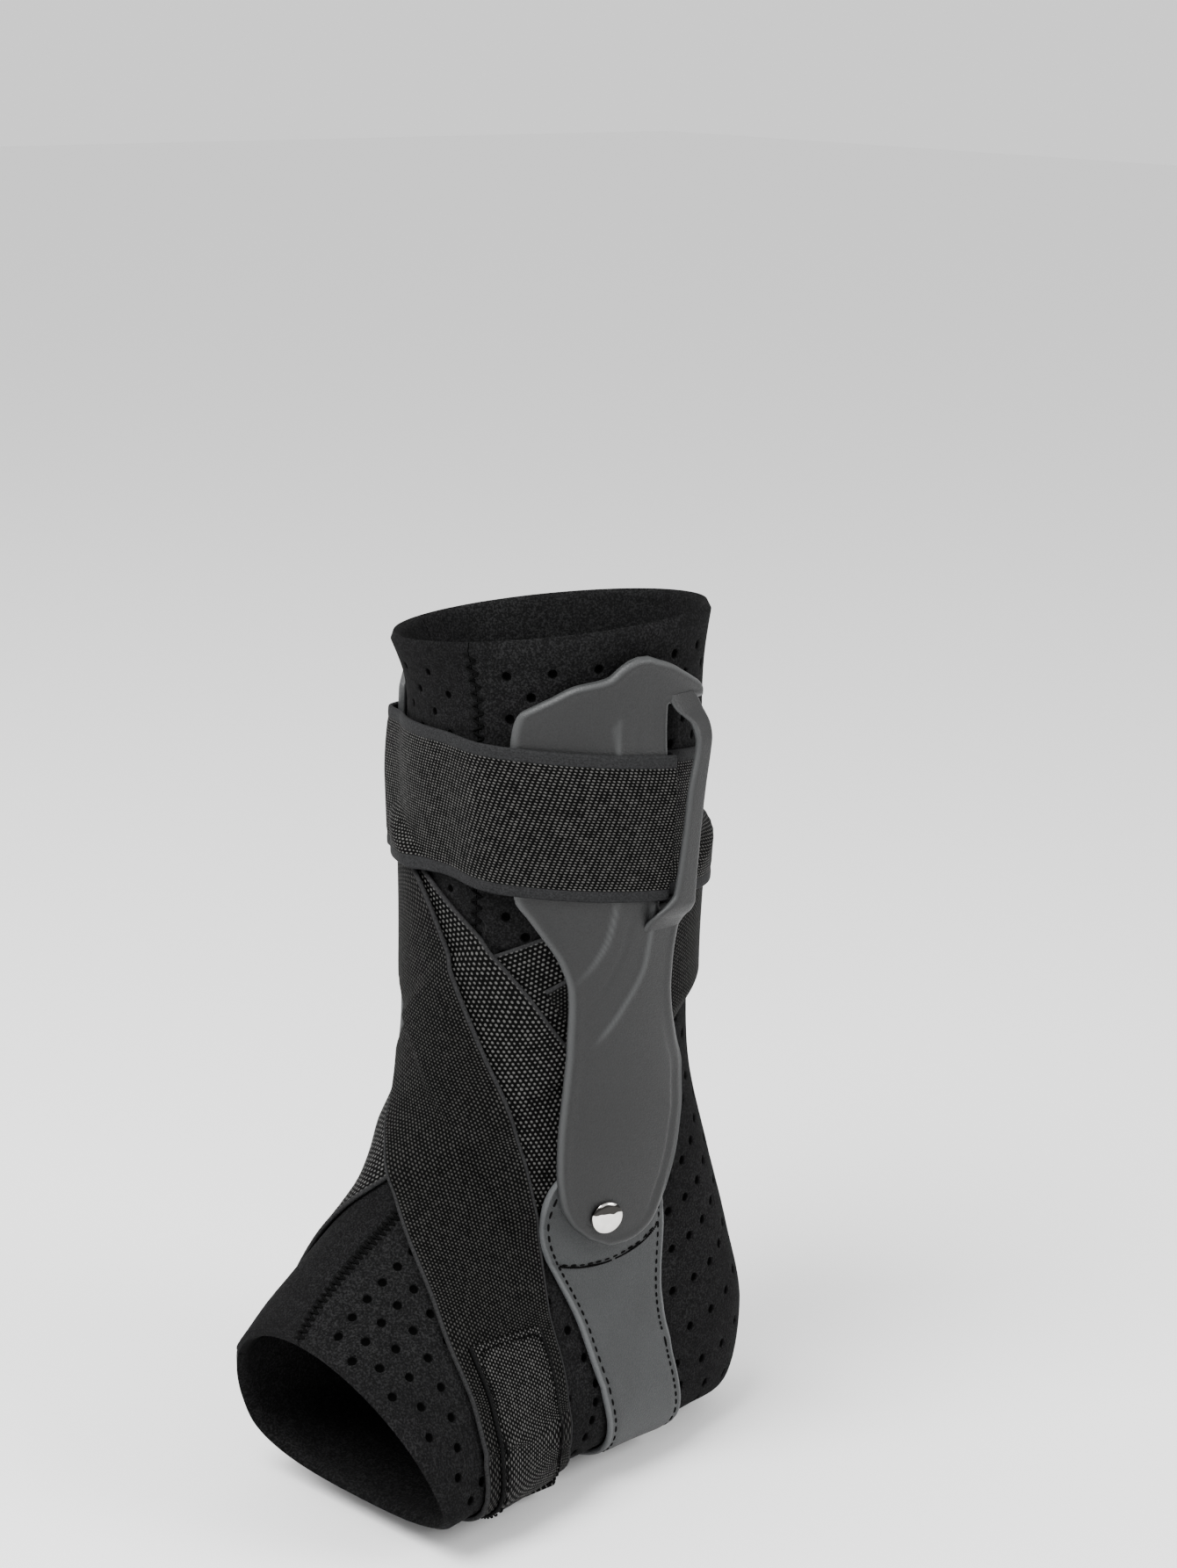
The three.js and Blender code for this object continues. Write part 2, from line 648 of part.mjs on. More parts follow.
function outerStrapGeometry() {
  const lift = (point, place) => (place.turn < TAIL_TURN ? tailLayer : outerLayer).underside(point);
  const width = () => CROSS_STRAP_WIDTH;
  return bandGeometry(outerTrack, width, CROSS_STRAP_THICKNESS, lift, CROSS_STRAP_ACROSS);
}

function endPatchGeometry() {
  const to = END_PATCH_FROM + END_PATCH_LENGTH;
  const track = part(outerTrack, (place) => place.at >= END_PATCH_FROM && place.at <= to);
  const lift = (point) => outerLayer.underside(point) + CROSS_STRAP_THICKNESS + SEAT_GAP;
  return bandGeometry(track, () => END_PATCH_WIDTH, END_PATCH_THICKNESS, lift, 4);
}

function solePatchGeometry() {
  const track = route(SOLE_PATCH_ROUTE);
  const lift = () => CROSSING_GAP + CROSS_STRAP_THICKNESS + SEAT_GAP;
  return bandGeometry(track, () => SOLE_PATCH_WIDTH, SOLE_PATCH_THICKNESS, lift, 4);
}

// Stirrup with its round ears, pierced for the rivets

function stirrupLift(point) {
  const near = Math.min(...Object.values(sides).map((one) => point.distanceTo(one.point)));
  const reach = RIVET_WASHER_DIAMETER / 2 + 2;
  const raised = smoothstep((reach + RAMP - near) / RAMP);
  return Math.max(stirrupLayer.underside(point), mix(SEAT_GAP, EAR_LIFT, raised));
}

function pin(one, radius, from, to) {
  const geometry = new THREE.CylinderGeometry(radius, radius, to - from, 16);
  return geometry.applyMatrix4(rivetFrame(one, (from + to) / 2));
}

// Turns the Y axis of a turned shape onto the rivet's axis, at a height over the sleeve
function rivetFrame(one, lift) {
  const turnTo = new THREE.Quaternion().setFromUnitVectors(new THREE.Vector3(0, 1, 0), one.normal);
  const place = one.point.clone().addScaledVector(one.normal, lift);
  return new THREE.Matrix4().compose(place, turnTo, new THREE.Vector3(1, 1, 1));
}

const HOLE_RADIUS = RIVET_SHANK_DIAMETER / 2 + RIVET_HOLE_CLEARANCE;
const HOLE_REACH = 25;

function hole(one) {
  return solid(pin(one, HOLE_RADIUS, -WALL / 2, HOLE_REACH));
}

function stirrupGeometry() {
  const strap = bandGeometry(stirrupTrack, stirrupWidth, STIRRUP_THICKNESS, stirrupLift, 6);
  return fromSolid(solid(strap).subtract(hole(sides.lateral)).subtract(hole(sides.medial)));
}

// Splints: a plate with a slot, and a bar that bridges the slot

const splintTable = named(SPLINT_COLUMNS, SPLINT_ROWS);
const barTable = named(BAR_COLUMNS, BAR_ROWS);
const WING_FROM = 0.5;

// The splint's outline on one side: the wing in front of the slot is narrower on the inner side
function splintOutline(one) {
  return splintTable.map((row) => (
    { ...row, front: row.up > WING_FROM && row.front < 0 ? row.front * one.wing : row.front }));
}

const SPLINT_ACROSS = 6;

function splintHeight(one, up) {
  return one.ankle.z - SPLINT_BELOW_RIVET + up * SPLINT_HEIGHT;
}

// The slot's ends as shares of the splint's height
const SLOT_TOP = 1 - SLOT_TOP_BELOW_TIP / SPLINT_HEIGHT;
const SLOT_BOTTOM = SLOT_TOP - SLOT_LENGTH / SPLINT_HEIGHT;

// Height of the plate's underside over the sleeve: clear of the straps, and nearer at the top
const SPLINT_CLOSING_FROM = 0.76;
const SPLINT_CLOSING = 0.12;

function splintLift(up) {
  return mix(SPLINT_LIFT, SPLINT_LIFT_AT_TOP, smoothstep((up - SPLINT_CLOSING_FROM) / SPLINT_CLOSING));
}

function splintPoint(one, up, across, lift) {
  const [along, turn] = placeAtSide(one.ankle.y + across * SPLINT_WIDTH, splintHeight(one, up), one.side);
  return lifted(along, turn, lift);
}

// A closed body over a table of rows, with its underside and its outer face at given lifts
function plateFromRows(one, rows, columns, under, over) {
  const grid = (liftOf) => rows.map((row) => Array.from({ length: columns + 1 }, (_, j) => {
    const share = one.side > 0 ? j / columns : 1 - j / columns;
    return splintPoint(one, row.up, mix(row.front, row.rear, share), liftOf(row));
  }));
  return slab([...grid(over)].reverse(), [...grid(under)].reverse());
}

function splintGeometry(one) {
  const under = (row) => splintLift(row.up);
  const over = (row) => splintLift(row.up) + SPLINT_THICKNESS;
  const plate = plateFromRows(one, splintOutline(one), SPLINT_ACROSS, under, over);
  const slotRows = Array.from({ length: 9 }, (_, i) => (
    { up: mix(SLOT_BOTTOM, SLOT_TOP, i / 8), front: SLOT_FRONT / SPLINT_WIDTH, rear: 0.75 }));
  const slot = plateFromRows(one, slotRows, 3, () => SEAM_GAP, () => HOLE_REACH);
  const barUnder = (row) => mix(splintLift(row.up) + SPLINT_THICKNESS * 0.3, BAR_LIFT, row.rise);
  const barOver = (row) => mix(
    splintLift(row.up) + SPLINT_THICKNESS + SEAM_GAP, BAR_LIFT + BAR_THICKNESS, row.rise);
  const barRows = barTable.map((row) => ({ ...row, up: mix(SLOT_BOTTOM, SLOT_TOP, row.share) }));
  const bar = plateFromRows(one, barRows, 2, barUnder, barOver);
  return fromSolid(solid(plate).subtract(solid(slot)).add(solid(bar)).subtract(hole(one)));
}

// Rivets: a domed head, a shank and an inner washer, turned about one axis

function rivetGeometry(one) {
  const head = RIVET_HEAD_DIAMETER / 2;
  const shank = RIVET_SHANK_DIAMETER / 2;
  const washer = RIVET_WASHER_DIAMETER / 2;
  const low = EAR_LIFT - RIVET_GAP - RIVET_WASHER_THICKNESS;
  const seat = SPLINT_LIFT + SPLINT_THICKNESS + RIVET_GAP;
  const rim = seat + RIVET_HEAD_HEIGHT * 0.35;
  const profile = [
    [0, low], [washer, low], [washer, low + RIVET_WASHER_THICKNESS], [shank, low + RIVET_WASHER_THICKNESS],
    [shank, seat], [head, seat], [head, rim],
  ];
  const domeSteps = 4;
  for (let i = 1; i < domeSteps; i += 1) {
    const angle = i / domeSteps * TURN / 4;
    profile.push([head * Math.cos(angle), mix(rim, seat + RIVET_HEAD_HEIGHT, Math.sin(angle))]);
  }
  profile.push([0, seat + RIVET_HEAD_HEIGHT]);
  const geometry = new THREE.LatheGeometry(profile.map(([x, y]) => new THREE.Vector2(x, y)), 18);
  return fromSolid(solid(geometry.applyMatrix4(rivetFrame(one, 0))));
}

// Upper strap: a loop round the shaft, over each plate, down through its slot and round the back

const RING_ROWS = 4;
const RING_STEPS = 200;
const BISECTIONS = 24;

// Share of the sleeve's length at which the strap's level, which rises towards the front, is met
function alongAtLevel(turn, level) {
  let low = 0;
  let high = 0.45;
  for (let i = 0; i < BISECTIONS; i += 1) {
    const middle = (low + high) / 2;
    const p = surface(middle, turn);
    if (p.z + UPPER_STRAP_SLOPE * p.y > level) low = middle;
    else high = middle;
  }
  return (low + high) / 2;
}

// The strap's lower edge lies a little above the lower end of the slots that it passes through
const upperStrapLowEdge = ANKLE.z - SPLINT_BELOW_RIVET + SLOT_BOTTOM * SPLINT_HEIGHT + UPPER_STRAP_ABOVE_SLOT_END;

// How much of a splint lies under the upper strap at a point: 1 on the plate, 0 past the slot
function plateCover(point) {
  const one = point.x > 0 ? sides.lateral : sides.medial;
  const up = (point.z - splintHeight(one, 0)) / SPLINT_HEIGHT;
  const across = point.y - one.ankle.y;
  const front = tableAt(splintOutline(one), 'up', up).front * SPLINT_WIDTH;
  const on = smoothstep((across - front + RAMP + EDGE_MARGIN) / RAMP);
  const off = smoothstep((SLOT_FRONT + SLOT_RAMP + EDGE_MARGIN - across) / SLOT_RAMP);
  return on * off * (splintLift(up) + SPLINT_THICKNESS);
}

function upperStrapGeometry() {
  const rows = Array.from({ length: RING_STEPS }, (_, i) => {
    const turn = -i / RING_STEPS;
    const places = Array.from({ length: RING_ROWS + 1 }, (_, j) => {
      const level = upperStrapLowEdge + UPPER_STRAP_WIDTH * (1 - j / RING_ROWS);
      return { along: alongAtLevel(turn, level), turn };
    });
    const points = places.map((place) => surface(place.along, place.turn));
    const normals = places.map((place) => tangents(place.along, place.turn).normal);
    const covers = points.map((point) => Math.max(...crossLayers.map((layer) => layer.cover(point))));
    const lifts = points.map((point, j) => SEAT_GAP + Math.max(
      plateCover(point), covers[Math.max(j - 1, 0)], covers[j], covers[Math.min(j + 1, RING_ROWS)]));
    return { at: i * GIRTH / RING_STEPS, width: UPPER_STRAP_WIDTH, places, normals, lifts };
  });
  const kept = neededRows(rows);
  const grid = (extra) => kept[0].places.map((_, j) => [...kept].reverse().map((row) => (
    surface(row.places[j].along, row.places[j].turn).addScaledVector(row.normals[j], row.lifts[j] + extra))));
  return slab(grid(UPPER_STRAP_THICKNESS), grid(0), true);
}

// The whole wrap, with its origin on the ankle's axis between the two rivets

const wrap = new THREE.Group();
wrap.position.set(0, -(ANKLE.y + MEDIAL_ANKLE.y) / 2, -(ANKLE.z + MEDIAL_ANKLE.z) / 2);

function add(name, geometry, material) {
  const mesh = new THREE.Mesh(geometry, material);
  mesh.name = name;
  wrap.add(mesh);
}

add('sleeve', sleeveGeometry(), MATERIALS.sleeve);
add('front_panel', frontPanelGeometry(), MATERIALS.panel);
add('stirrup', stirrupGeometry(), MATERIALS.leather);
add('inner_cross_strap', innerStrapGeometry(), MATERIALS.webbing);
add('outer_cross_strap', outerStrapGeometry(), MATERIALS.webbing);
add('strap_end_patch', endPatchGeometry(), MATERIALS.patch);
add('sole_patch', solePatchGeometry(), MATERIALS.patch);
add('upper_strap', upperStrapGeometry(), MATERIALS.webbing);
for (const [name, one] of Object.entries(sides)) {
  add(`splint_${name}`, splintGeometry(one), MATERIALS.splint);
  add(`rivet_${name}`, rivetGeometry(one), MATERIALS.steel);
}

const model = new THREE.Group();
model.add(wrap);

export default model;
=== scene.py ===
"""An ankle support wrap with riveted side splints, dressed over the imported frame.

Lengths are in millimetres in the wrap's own form frame (sole at z 0, toes towards -Y, outer side
towards +X) until a mesh is made, when they turn into metres in the frame's coordinates.
"""

import logging
import math
from dataclasses import dataclass, field
from enum import Enum
from functools import cached_property, reduce
from typing import Callable, Iterable, Sequence

import bpy
import numpy as np
from mathutils import Matrix, Vector


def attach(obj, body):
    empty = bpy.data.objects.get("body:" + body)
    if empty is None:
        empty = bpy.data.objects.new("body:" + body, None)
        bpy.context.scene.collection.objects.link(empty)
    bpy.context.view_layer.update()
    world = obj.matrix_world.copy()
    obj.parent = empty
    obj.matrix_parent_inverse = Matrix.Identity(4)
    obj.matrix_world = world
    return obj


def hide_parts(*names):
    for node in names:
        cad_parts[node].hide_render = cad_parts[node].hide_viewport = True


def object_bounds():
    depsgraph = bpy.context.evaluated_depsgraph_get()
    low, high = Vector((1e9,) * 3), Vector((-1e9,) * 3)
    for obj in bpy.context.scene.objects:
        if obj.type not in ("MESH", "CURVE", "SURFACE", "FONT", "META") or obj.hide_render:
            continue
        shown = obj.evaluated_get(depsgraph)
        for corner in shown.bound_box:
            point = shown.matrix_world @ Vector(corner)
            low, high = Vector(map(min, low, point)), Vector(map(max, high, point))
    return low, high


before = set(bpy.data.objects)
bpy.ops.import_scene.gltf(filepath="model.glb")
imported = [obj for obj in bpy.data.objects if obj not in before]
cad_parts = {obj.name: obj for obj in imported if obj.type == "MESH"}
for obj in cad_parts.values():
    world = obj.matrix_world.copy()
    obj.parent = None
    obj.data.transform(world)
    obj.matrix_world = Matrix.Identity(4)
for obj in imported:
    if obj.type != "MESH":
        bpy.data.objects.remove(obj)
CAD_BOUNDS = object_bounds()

log = logging.getLogger("ankle_wrap")

TURN = 2 * math.pi
Array = np.ndarray
Lift = Callable[[Array, Array], Array]
Height = Callable[[Array, Array, Array], Array]
Color = tuple[float, float, float]
Socket = bpy.types.NodeSocket
Value = Socket | float | Sequence[float]


def unit(vectors: Array) -> Array:
    """Scale vectors to length 1.

    Args:
        vectors: Array whose last axis holds the coordinates.

    Returns:
        The unit vectors.
    """
    return vectors / np.linalg.norm(vectors, axis=-1, keepdims=True)


def dot(a: Array, b: Array) -> Array:
    """Return the dot product over the last axis."""
    return (a * b).sum(-1)


def ease(t: Array) -> Array:
    """Return the smooth step of t, held between 0 and 1."""
    s = np.clip(t, 0.0, 1.0)
    return s * s * (3 - 2 * s)


def bell(values: Array, centre: float, width: float) -> Array:
    """Return a bell curve that is 1 where the values meet its centre."""
    return np.exp(-(((values - centre) / width) ** 2))


def column(table: Sequence[Sequence[float]], index: int) -> Array:
    """Return one column of a table of rows."""
    return np.array([row[index] for row in table], float)


def travelled(points: Array) -> Array:
    """Return the distance gone at each point of a line, from its start."""
    return np.concatenate([[0.0], np.cumsum(np.linalg.norm(np.diff(points, axis=0), axis=1))])


def hermite(s: Array, span: Array, low: Array, high: Array, slope_low: Array, slope_high: Array) -> Array:
    """Return the cubic curve between two values that leaves them at given slopes.

    Args:
        s: Share of the way from the low value to the high one.
        span: Distance between the two.
        low: Value at the start.
        high: Value at the end.
        slope_low: Slope at the start.
        slope_high: Slope at the end.

    Returns:
        The values on the curve.
    """
    return (
        (2 * s**3 - 3 * s**2 + 1) * low
        + (s**3 - 2 * s**2 + s) * span * slope_low
        + (3 * s**2 - 2 * s**3) * high
        + (s**3 - s**2) * span * slope_high
    )


def smooth_table(x: Array, table: Sequence[Sequence[float]], index: int) -> Array:
    """Interpolate a table's column along a monotone cubic curve.

    Args:
        x: Places at which to read the table.
        table: Rows whose first entry rises.
        index: The column to read.

    Returns:
        The values at x.
    """
    keys = column(table, 0)
    values = column(table, index)
    step = np.diff(keys)
    rise = np.diff(values) / step
    both = rise[:-1] * rise[1:] > 0
    mean = 2 * rise[:-1] * rise[1:] / np.where(both, rise[:-1] + rise[1:], 1)
    slope = np.concatenate([rise[:1], np.where(both, mean, 0), rise[-1:]])
    place = np.clip(x, keys[0], keys[-1])
    i = np.clip(np.searchsorted(keys, place, side="right") - 1, 0, len(keys) - 2)
    s = (place - keys[i]) / step[i]
    return hermite(s, step[i], values[i], values[i + 1], slope[i], slope[i + 1])


class Side(Enum):
    """The two sides of the wrap."""

    LATERAL = 1
    MEDIAL = -1


@dataclass
class Form:
    """The sleeve's outer form, a tube of sections from the top rim to the toe opening."""

    height: float = 247.0
    instep_reach: float = 99.0
    heel_reach: float = 69.0
    half_width: float = 44.0
    origin: tuple[float, float, float] = (0.0, -11.0, 78.0)
    # Columns: front out, front up, back out, back up, half width, share, power, ridge, shift, tilt
    sections: tuple[tuple[float, ...], ...] = (
        (0.485, 0.980, 0.638, 1.000, 1.020, 0.50, 2.0, 0.00, 0.020, 0.11),
        (0.444, 0.931, 0.609, 0.955, 0.959, 0.50, 2.0, 0.00, 0.034, 0.05),
        (0.430, 0.818, 0.609, 0.830, 0.936, 0.50, 2.0, 0.00, 0.034, 0.00),
        (0.413, 0.696, 0.594, 0.700, 0.898, 0.50, 2.0, 0.00, 0.023, 0.00),
        (0.410, 0.583, 0.600, 0.571, 0.870, 0.50, 2.0, 0.00, 0.010, 0.00),
        (0.420, 0.498, 0.638, 0.445, 0.870, 0.52, 2.0, 0.00, 0.000, 0.00),
        (0.452, 0.445, 0.754, 0.332, 0.898, 0.52, 2.1, -0.02, 0.000, 0.00),
        (0.515, 0.409, 0.913, 0.211, 0.886, 0.50, 2.2, -0.05, 0.000, 0.00),
        (0.566, 0.381, 1.000, 0.097, 0.841, 0.52, 2.4, -0.07, 0.023, 0.00),
        (0.616, 0.356, 0.884, 0.008, 0.818, 0.56, 2.6, -0.09, 0.045, 0.00),
        (0.677, 0.332, 0.551, 0.000, 0.841, 0.62, 2.8, -0.11, 0.068, 0.00),
        (0.758, 0.304, 0.087, 0.004, 0.886, 0.64, 2.8, -0.11, 0.091, 0.00),
        (0.848, 0.275, -0.377, 0.008, 0.932, 0.66, 2.8, -0.11, 0.136, 0.00),
        (0.929, 0.247, -0.768, 0.008, 0.977, 0.68, 2.8, -0.11, 0.182, 0.00),
        (1.000, 0.219, -1.145, 0.008, 1.000, 0.70, 2.8, -0.09, 0.239, 0.00),
    )

    @cached_property
    def rows(self) -> Array:
        """Return the sections in millimetres, one row each."""
        half = self.half_width
        reaches = (-self.instep_reach, self.height, self.heel_reach, self.height)
        sizes = (*reaches, half, 1, 1, half, half, half)
        return np.array(self.sections, float) * sizes

    @cached_property
    def knots(self) -> Array:
        """Return each section's distance from the top rim, down the middle of front and back."""
        front = np.linalg.norm(np.diff(self.rows[:, 0:2], axis=0), axis=1)
        back = np.linalg.norm(np.diff(self.rows[:, 2:4], axis=0), axis=1)
        return np.concatenate([[0.0], np.cumsum((front + back) / 2)])

    @property
    def length(self) -> float:
        """Return the sleeve's length from the top rim to the toe opening."""
        return float(self.knots[-1])

    @property
    def girth(self) -> float:
        """Return the nominal girth that turns are scaled by."""
        return 6 * self.half_width

    @cached_property
    def slopes(self) -> Array:
        """Return the slope of each column at each section."""
        step = np.diff(self.knots)[:, None]
        rise = np.diff(self.rows, axis=0) / step
        inner = (rise[:-1] * step[1:] + rise[1:] * step[:-1]) / (step[:-1] + step[1:])
        return np.vstack([rise[:1], inner, rise[-1:]])

    def section_at(self, along: Array) -> Array:
        """Return the ten section sizes at each share of the length, one array for each size."""
        t = np.clip(along, 0, 1) * self.length
        i = np.clip(np.searchsorted(self.knots, t, side="right") - 1, 0, len(self.knots) - 2)
        span = (self.knots[i + 1] - self.knots[i])[..., None]
        s = (t - self.knots[i])[..., None] / span
        out = hermite(s, span, self.rows[i], self.rows[i + 1], self.slopes[i], self.slopes[i + 1])
        return np.moveaxis(out, -1, 0)

    def surface(self, along: Array, turn: Array) -> Array:
        """Return points of the outer form.

        Args:
            along: Share of the length, 0 at the top rim and 1 at the toe opening.
            turn: Turns from the front, a quarter at the outer side and a half at the back.

        Returns:
            Points in millimetres.
        """
        along, turn = np.broadcast_arrays(np.asarray(along, float), np.asarray(turn, float))
        front_y, front_z, back_y, back_z, half, share, power, ridge, shift, tilt = self.section_at(along)
        c, d = np.cos(turn * TURN), np.sin(turn * TURN)
        n = np.where(c > 0, 2.0, power)
        radius = (np.abs(c) ** n + np.abs(d) ** n) ** (-1 / n)
        place = share - np.where(c > 0, share, 1 - share) * radius * c
        x = half * radius * d
        return np.stack(
            [
                shift + x + ridge * (1 - place) ** 2,
                front_y + (back_y - front_y) * place,
                front_z + (back_z - front_z) * place + tilt * x / half,
            ],
            -1,
        )

    def frame_at(self, along: Array, turn: Array) -> tuple[Array, Array, Array, Array]:
        """Return the points, both tangents and the outward normals of the outer form."""
        step = 1e-4
        along, turn = np.broadcast_arrays(np.asarray(along, float), np.asarray(turn, float))
        high, low = np.minimum(along + step, 1), np.maximum(along - step, 0)
        du = (self.surface(high, turn) - self.surface(low, turn)) / (high - low)[..., None]
        dv = (self.surface(along, turn + step) - self.surface(along, turn - step)) / (2 * step)
        return self.surface(along, turn), du, dv, unit(np.cross(du, dv))

    def lifted(self, along: Array, turn: Array, lift: Array | float) -> Array:
        """Return points at a height over the outer form."""
        point, _, _, normal = self.frame_at(along, turn)
        return point + normal * np.asarray(lift)[..., None]

    def moved(self, along: Array, turn: Array, offset: Array) -> tuple[Array, Array]:
        """Return the places reached by a small tangent offset in millimetres."""
        _, du, dv, _ = self.frame_at(along, turn)
        aa, ab, bb = dot(du, du), dot(du, dv), dot(dv, dv)
        ha, hb = dot(offset, du), dot(offset, dv)
        det = aa * bb - ab * ab
        return np.clip(along + (ha * bb - hb * ab) / det, 0, 1), turn + (hb * aa - ha * ab) / det

    def walk(self, along: Array, turn: Array, heading: Array, distances: Array) -> tuple[Array, Array]:
        """Walk straight over the form from many places at once.

        Args:
            along: Starting shares of the length.
            turn: Starting turns.
            heading: Starting directions.
            distances: Rising distances, a row for each start.

        Returns:
            The shares of the length and the turns reached, in the shape of distances.
        """
        reached_along, reached_turn = np.empty(distances.shape), np.empty(distances.shape)
        gone = np.zeros(len(along))
        for j in range(distances.shape[1]):
            span = distances[:, j] - gone
            steps = max(1, math.ceil(span.max() / 2.0))
            for _ in range(steps):
                normal = self.frame_at(along, turn)[3]
                heading = unit(heading - normal * dot(heading, normal)[:, None])
                along, turn = self.moved(along, turn, heading * (span / steps)[:, None])
            gone = distances[:, j]
            reached_along[:, j], reached_turn[:, j] = along, turn
        return reached_along, reached_turn

    def place_at_side(self, y: Array, z: Array, side: Side) -> tuple[Array, Array]:
        """Return the places on one side of the form that have the given y and z."""
        y, z = np.broadcast_arrays(np.asarray(y, float), np.asarray(z, float))
        sign = side.value
        along = np.clip(1 - z / self.height, 0, 1) * 0.75
        turn = np.full(y.shape, sign * 0.25)
        for _ in range(40):
            point, du, dv, _ = self.frame_at(along, turn)
            miss_y, miss_z = y - point[..., 1], z - point[..., 2]
            det = du[..., 1] * dv[..., 2] - dv[..., 1] * du[..., 2]
            step_along = (miss_y * dv[..., 2] - miss_z * dv[..., 1]) / det
            step_turn = (miss_z * du[..., 1] - miss_y * du[..., 2]) / det
            along = np.clip(along + np.clip(step_along, -0.08, 0.08), 0, 1)
            turn = sign * np.clip(sign * (turn + np.clip(step_turn, -0.04, 0.04)), 0.02, 0.48)
        return along, turn

    def to_frame(self, points: Array) -> Array:
        """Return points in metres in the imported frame's coordinates."""
        return (points - np.array(self.origin)) / 1000


FORM = Form()


@dataclass(frozen=True)
class Ankle:
    """A rivet's place on the sleeve, seen from the side."""

    side: Side
    y: float
    z: float
    wing: float

    def place(self) -> tuple[float, float]:
        """Return the rivet's share of the length and its turn, from 0 to 1."""
        along, turn = FORM.place_at_side(np.array([self.y]), np.array([self.z]), self.side)
        return float(along[0]), float(turn[0]) % 1

    def axis(self) -> tuple[Array, Array]:
        """Return the point of the form under the rivet and the rivet's direction."""
        along, turn = self.place()
        point, _, _, normal = FORM.frame_at(np.array([along]), np.array([turn]))
        return point[0], normal[0]


LATERAL = Ankle(Side.LATERAL, -13.0, 81.0, 1.0)
MEDIAL = Ankle(Side.MEDIAL, -9.0, 75.0, 0.55)


@dataclass(frozen=True)
class Stack:
    """How thick the layers are and how closely they lie."""

    seat: float = 0.45
    crossing: float = 0.6
    cross_strap: float = 1.35
    upper_strap: float = 1.5
    stirrup: float = 1.8
    splint: float = 2.6
    play: float = 0.55
    rivet_gap: float = 0.15
    ramp: float = 5.0
    margin: float = 0.6

    @property
    def straps(self) -> float:
        """Return the height of two crossed straps."""
        return 2 * (self.seat + self.cross_strap)

    @property
    def splint_lift(self) -> float:
        """Return the height of a splint's underside over the sleeve."""
        return self.straps + self.seat + self.play

    @property
    def ear_lift(self) -> float:
        """Return the height of the stirrup's ear where it is riveted."""
        return self.splint_lift - 0.4 - self.stirrup

    @property
    def bar_lift(self) -> float:
        """Return the height of the underside of the bar over the slot."""
        return self.splint_lift + self.splint + self.upper_strap + 2 * self.seat + 0.2


STACK = Stack()


@dataclass
class Track:
    """A smooth route over the form, given by a few places and read at even steps."""

    points: Sequence[tuple[float, float]]
    spacing: float = 1.6

    @cached_property
    def places(self) -> Array:
        """Return rows of distance, share of the length and turn at even steps."""
        scale = np.array([FORM.length, FORM.girth])
        p = np.array(self.points, float) * scale
        p = np.vstack([2 * p[0] - p[1], p, 2 * p[-1] - p[-2]])
        found = []
        for i in range(1, len(p) - 2):
            p0, p1, p2, p3 = p[i - 1 : i + 3]
            t1 = np.linalg.norm(p1 - p0) ** 0.5
            t2 = t1 + np.linalg.norm(p2 - p1) ** 0.5
            t3 = t2 + np.linalg.norm(p3 - p2) ** 0.5
            t = np.linspace(t1, t2, 16, endpoint=False)[:, None]
            a1 = (t1 - t) / t1 * p0 + t / t1 * p1
            a2 = (t2 - t) / (t2 - t1) * p1 + (t - t1) / (t2 - t1) * p2
            a3 = (t3 - t) / (t3 - t2) * p2 + (t - t2) / (t3 - t2) * p3
            b1 = (t2 - t) / t2 * a1 + t / t2 * a2
            b2 = (t3 - t) / (t3 - t1) * a2 + (t - t1) / (t3 - t1) * a3
            found.append((t2 - t) / (t2 - t1) * b1 + (t - t1) / (t2 - t1) * b2)
        raw = np.vstack([*found, p[-2:-1]]) / scale
        at = travelled(FORM.surface(raw[:, 0], raw[:, 1]))
        even = np.linspace(0, at[-1], max(3, round(at[-1] / self.spacing) + 1))
        return np.column_stack([even, np.interp(even, at, raw[:, 0]), np.interp(even, at, raw[:, 1])])

    @property
    def length(self) -> float:
        """Return the length of the route."""
        return float(self.places[-1, 0])

    def read(self, at: Array) -> tuple[Array, Array]:
        """Return the shares of the length and the turns at distances along the route."""
        gone, along, turn = self.places.T
        return np.interp(at, gone, along), np.interp(at, gone, turn)

    def between(self, start: float, end: float) -> Array:
        """Return the places from one distance to another."""
        even = np.linspace(start, end, max(3, round((end - start) / self.spacing) + 1))
        return np.column_stack([even, *self.read(even)])

    def beside(self, at: Array, across: Array, back: float = 1.0) -> tuple[Array, Array]:
        """Return points of the form beside the route.

        Args:
            at: Distances along the route.
            across: Distances across it, below 0 on its other side.
            back: How far behind each place its heading is measured from.

        Returns:
            The points and the outward directions there.
        """
        along, turn = self.read(at)
        _, _, _, normal = FORM.frame_at(along, turn)
        heading = unit(FORM.surface(*self.read(at + 1)) - FORM.surface(*self.read(at - back)))
        side = np.cross(normal, heading) * np.sign(across)[:, None]
        a, t = FORM.walk(along, turn, side, np.abs(across)[:, None])
        point, _, _, out = FORM.frame_at(a[:, 0], t[:, 0])
        return point, out


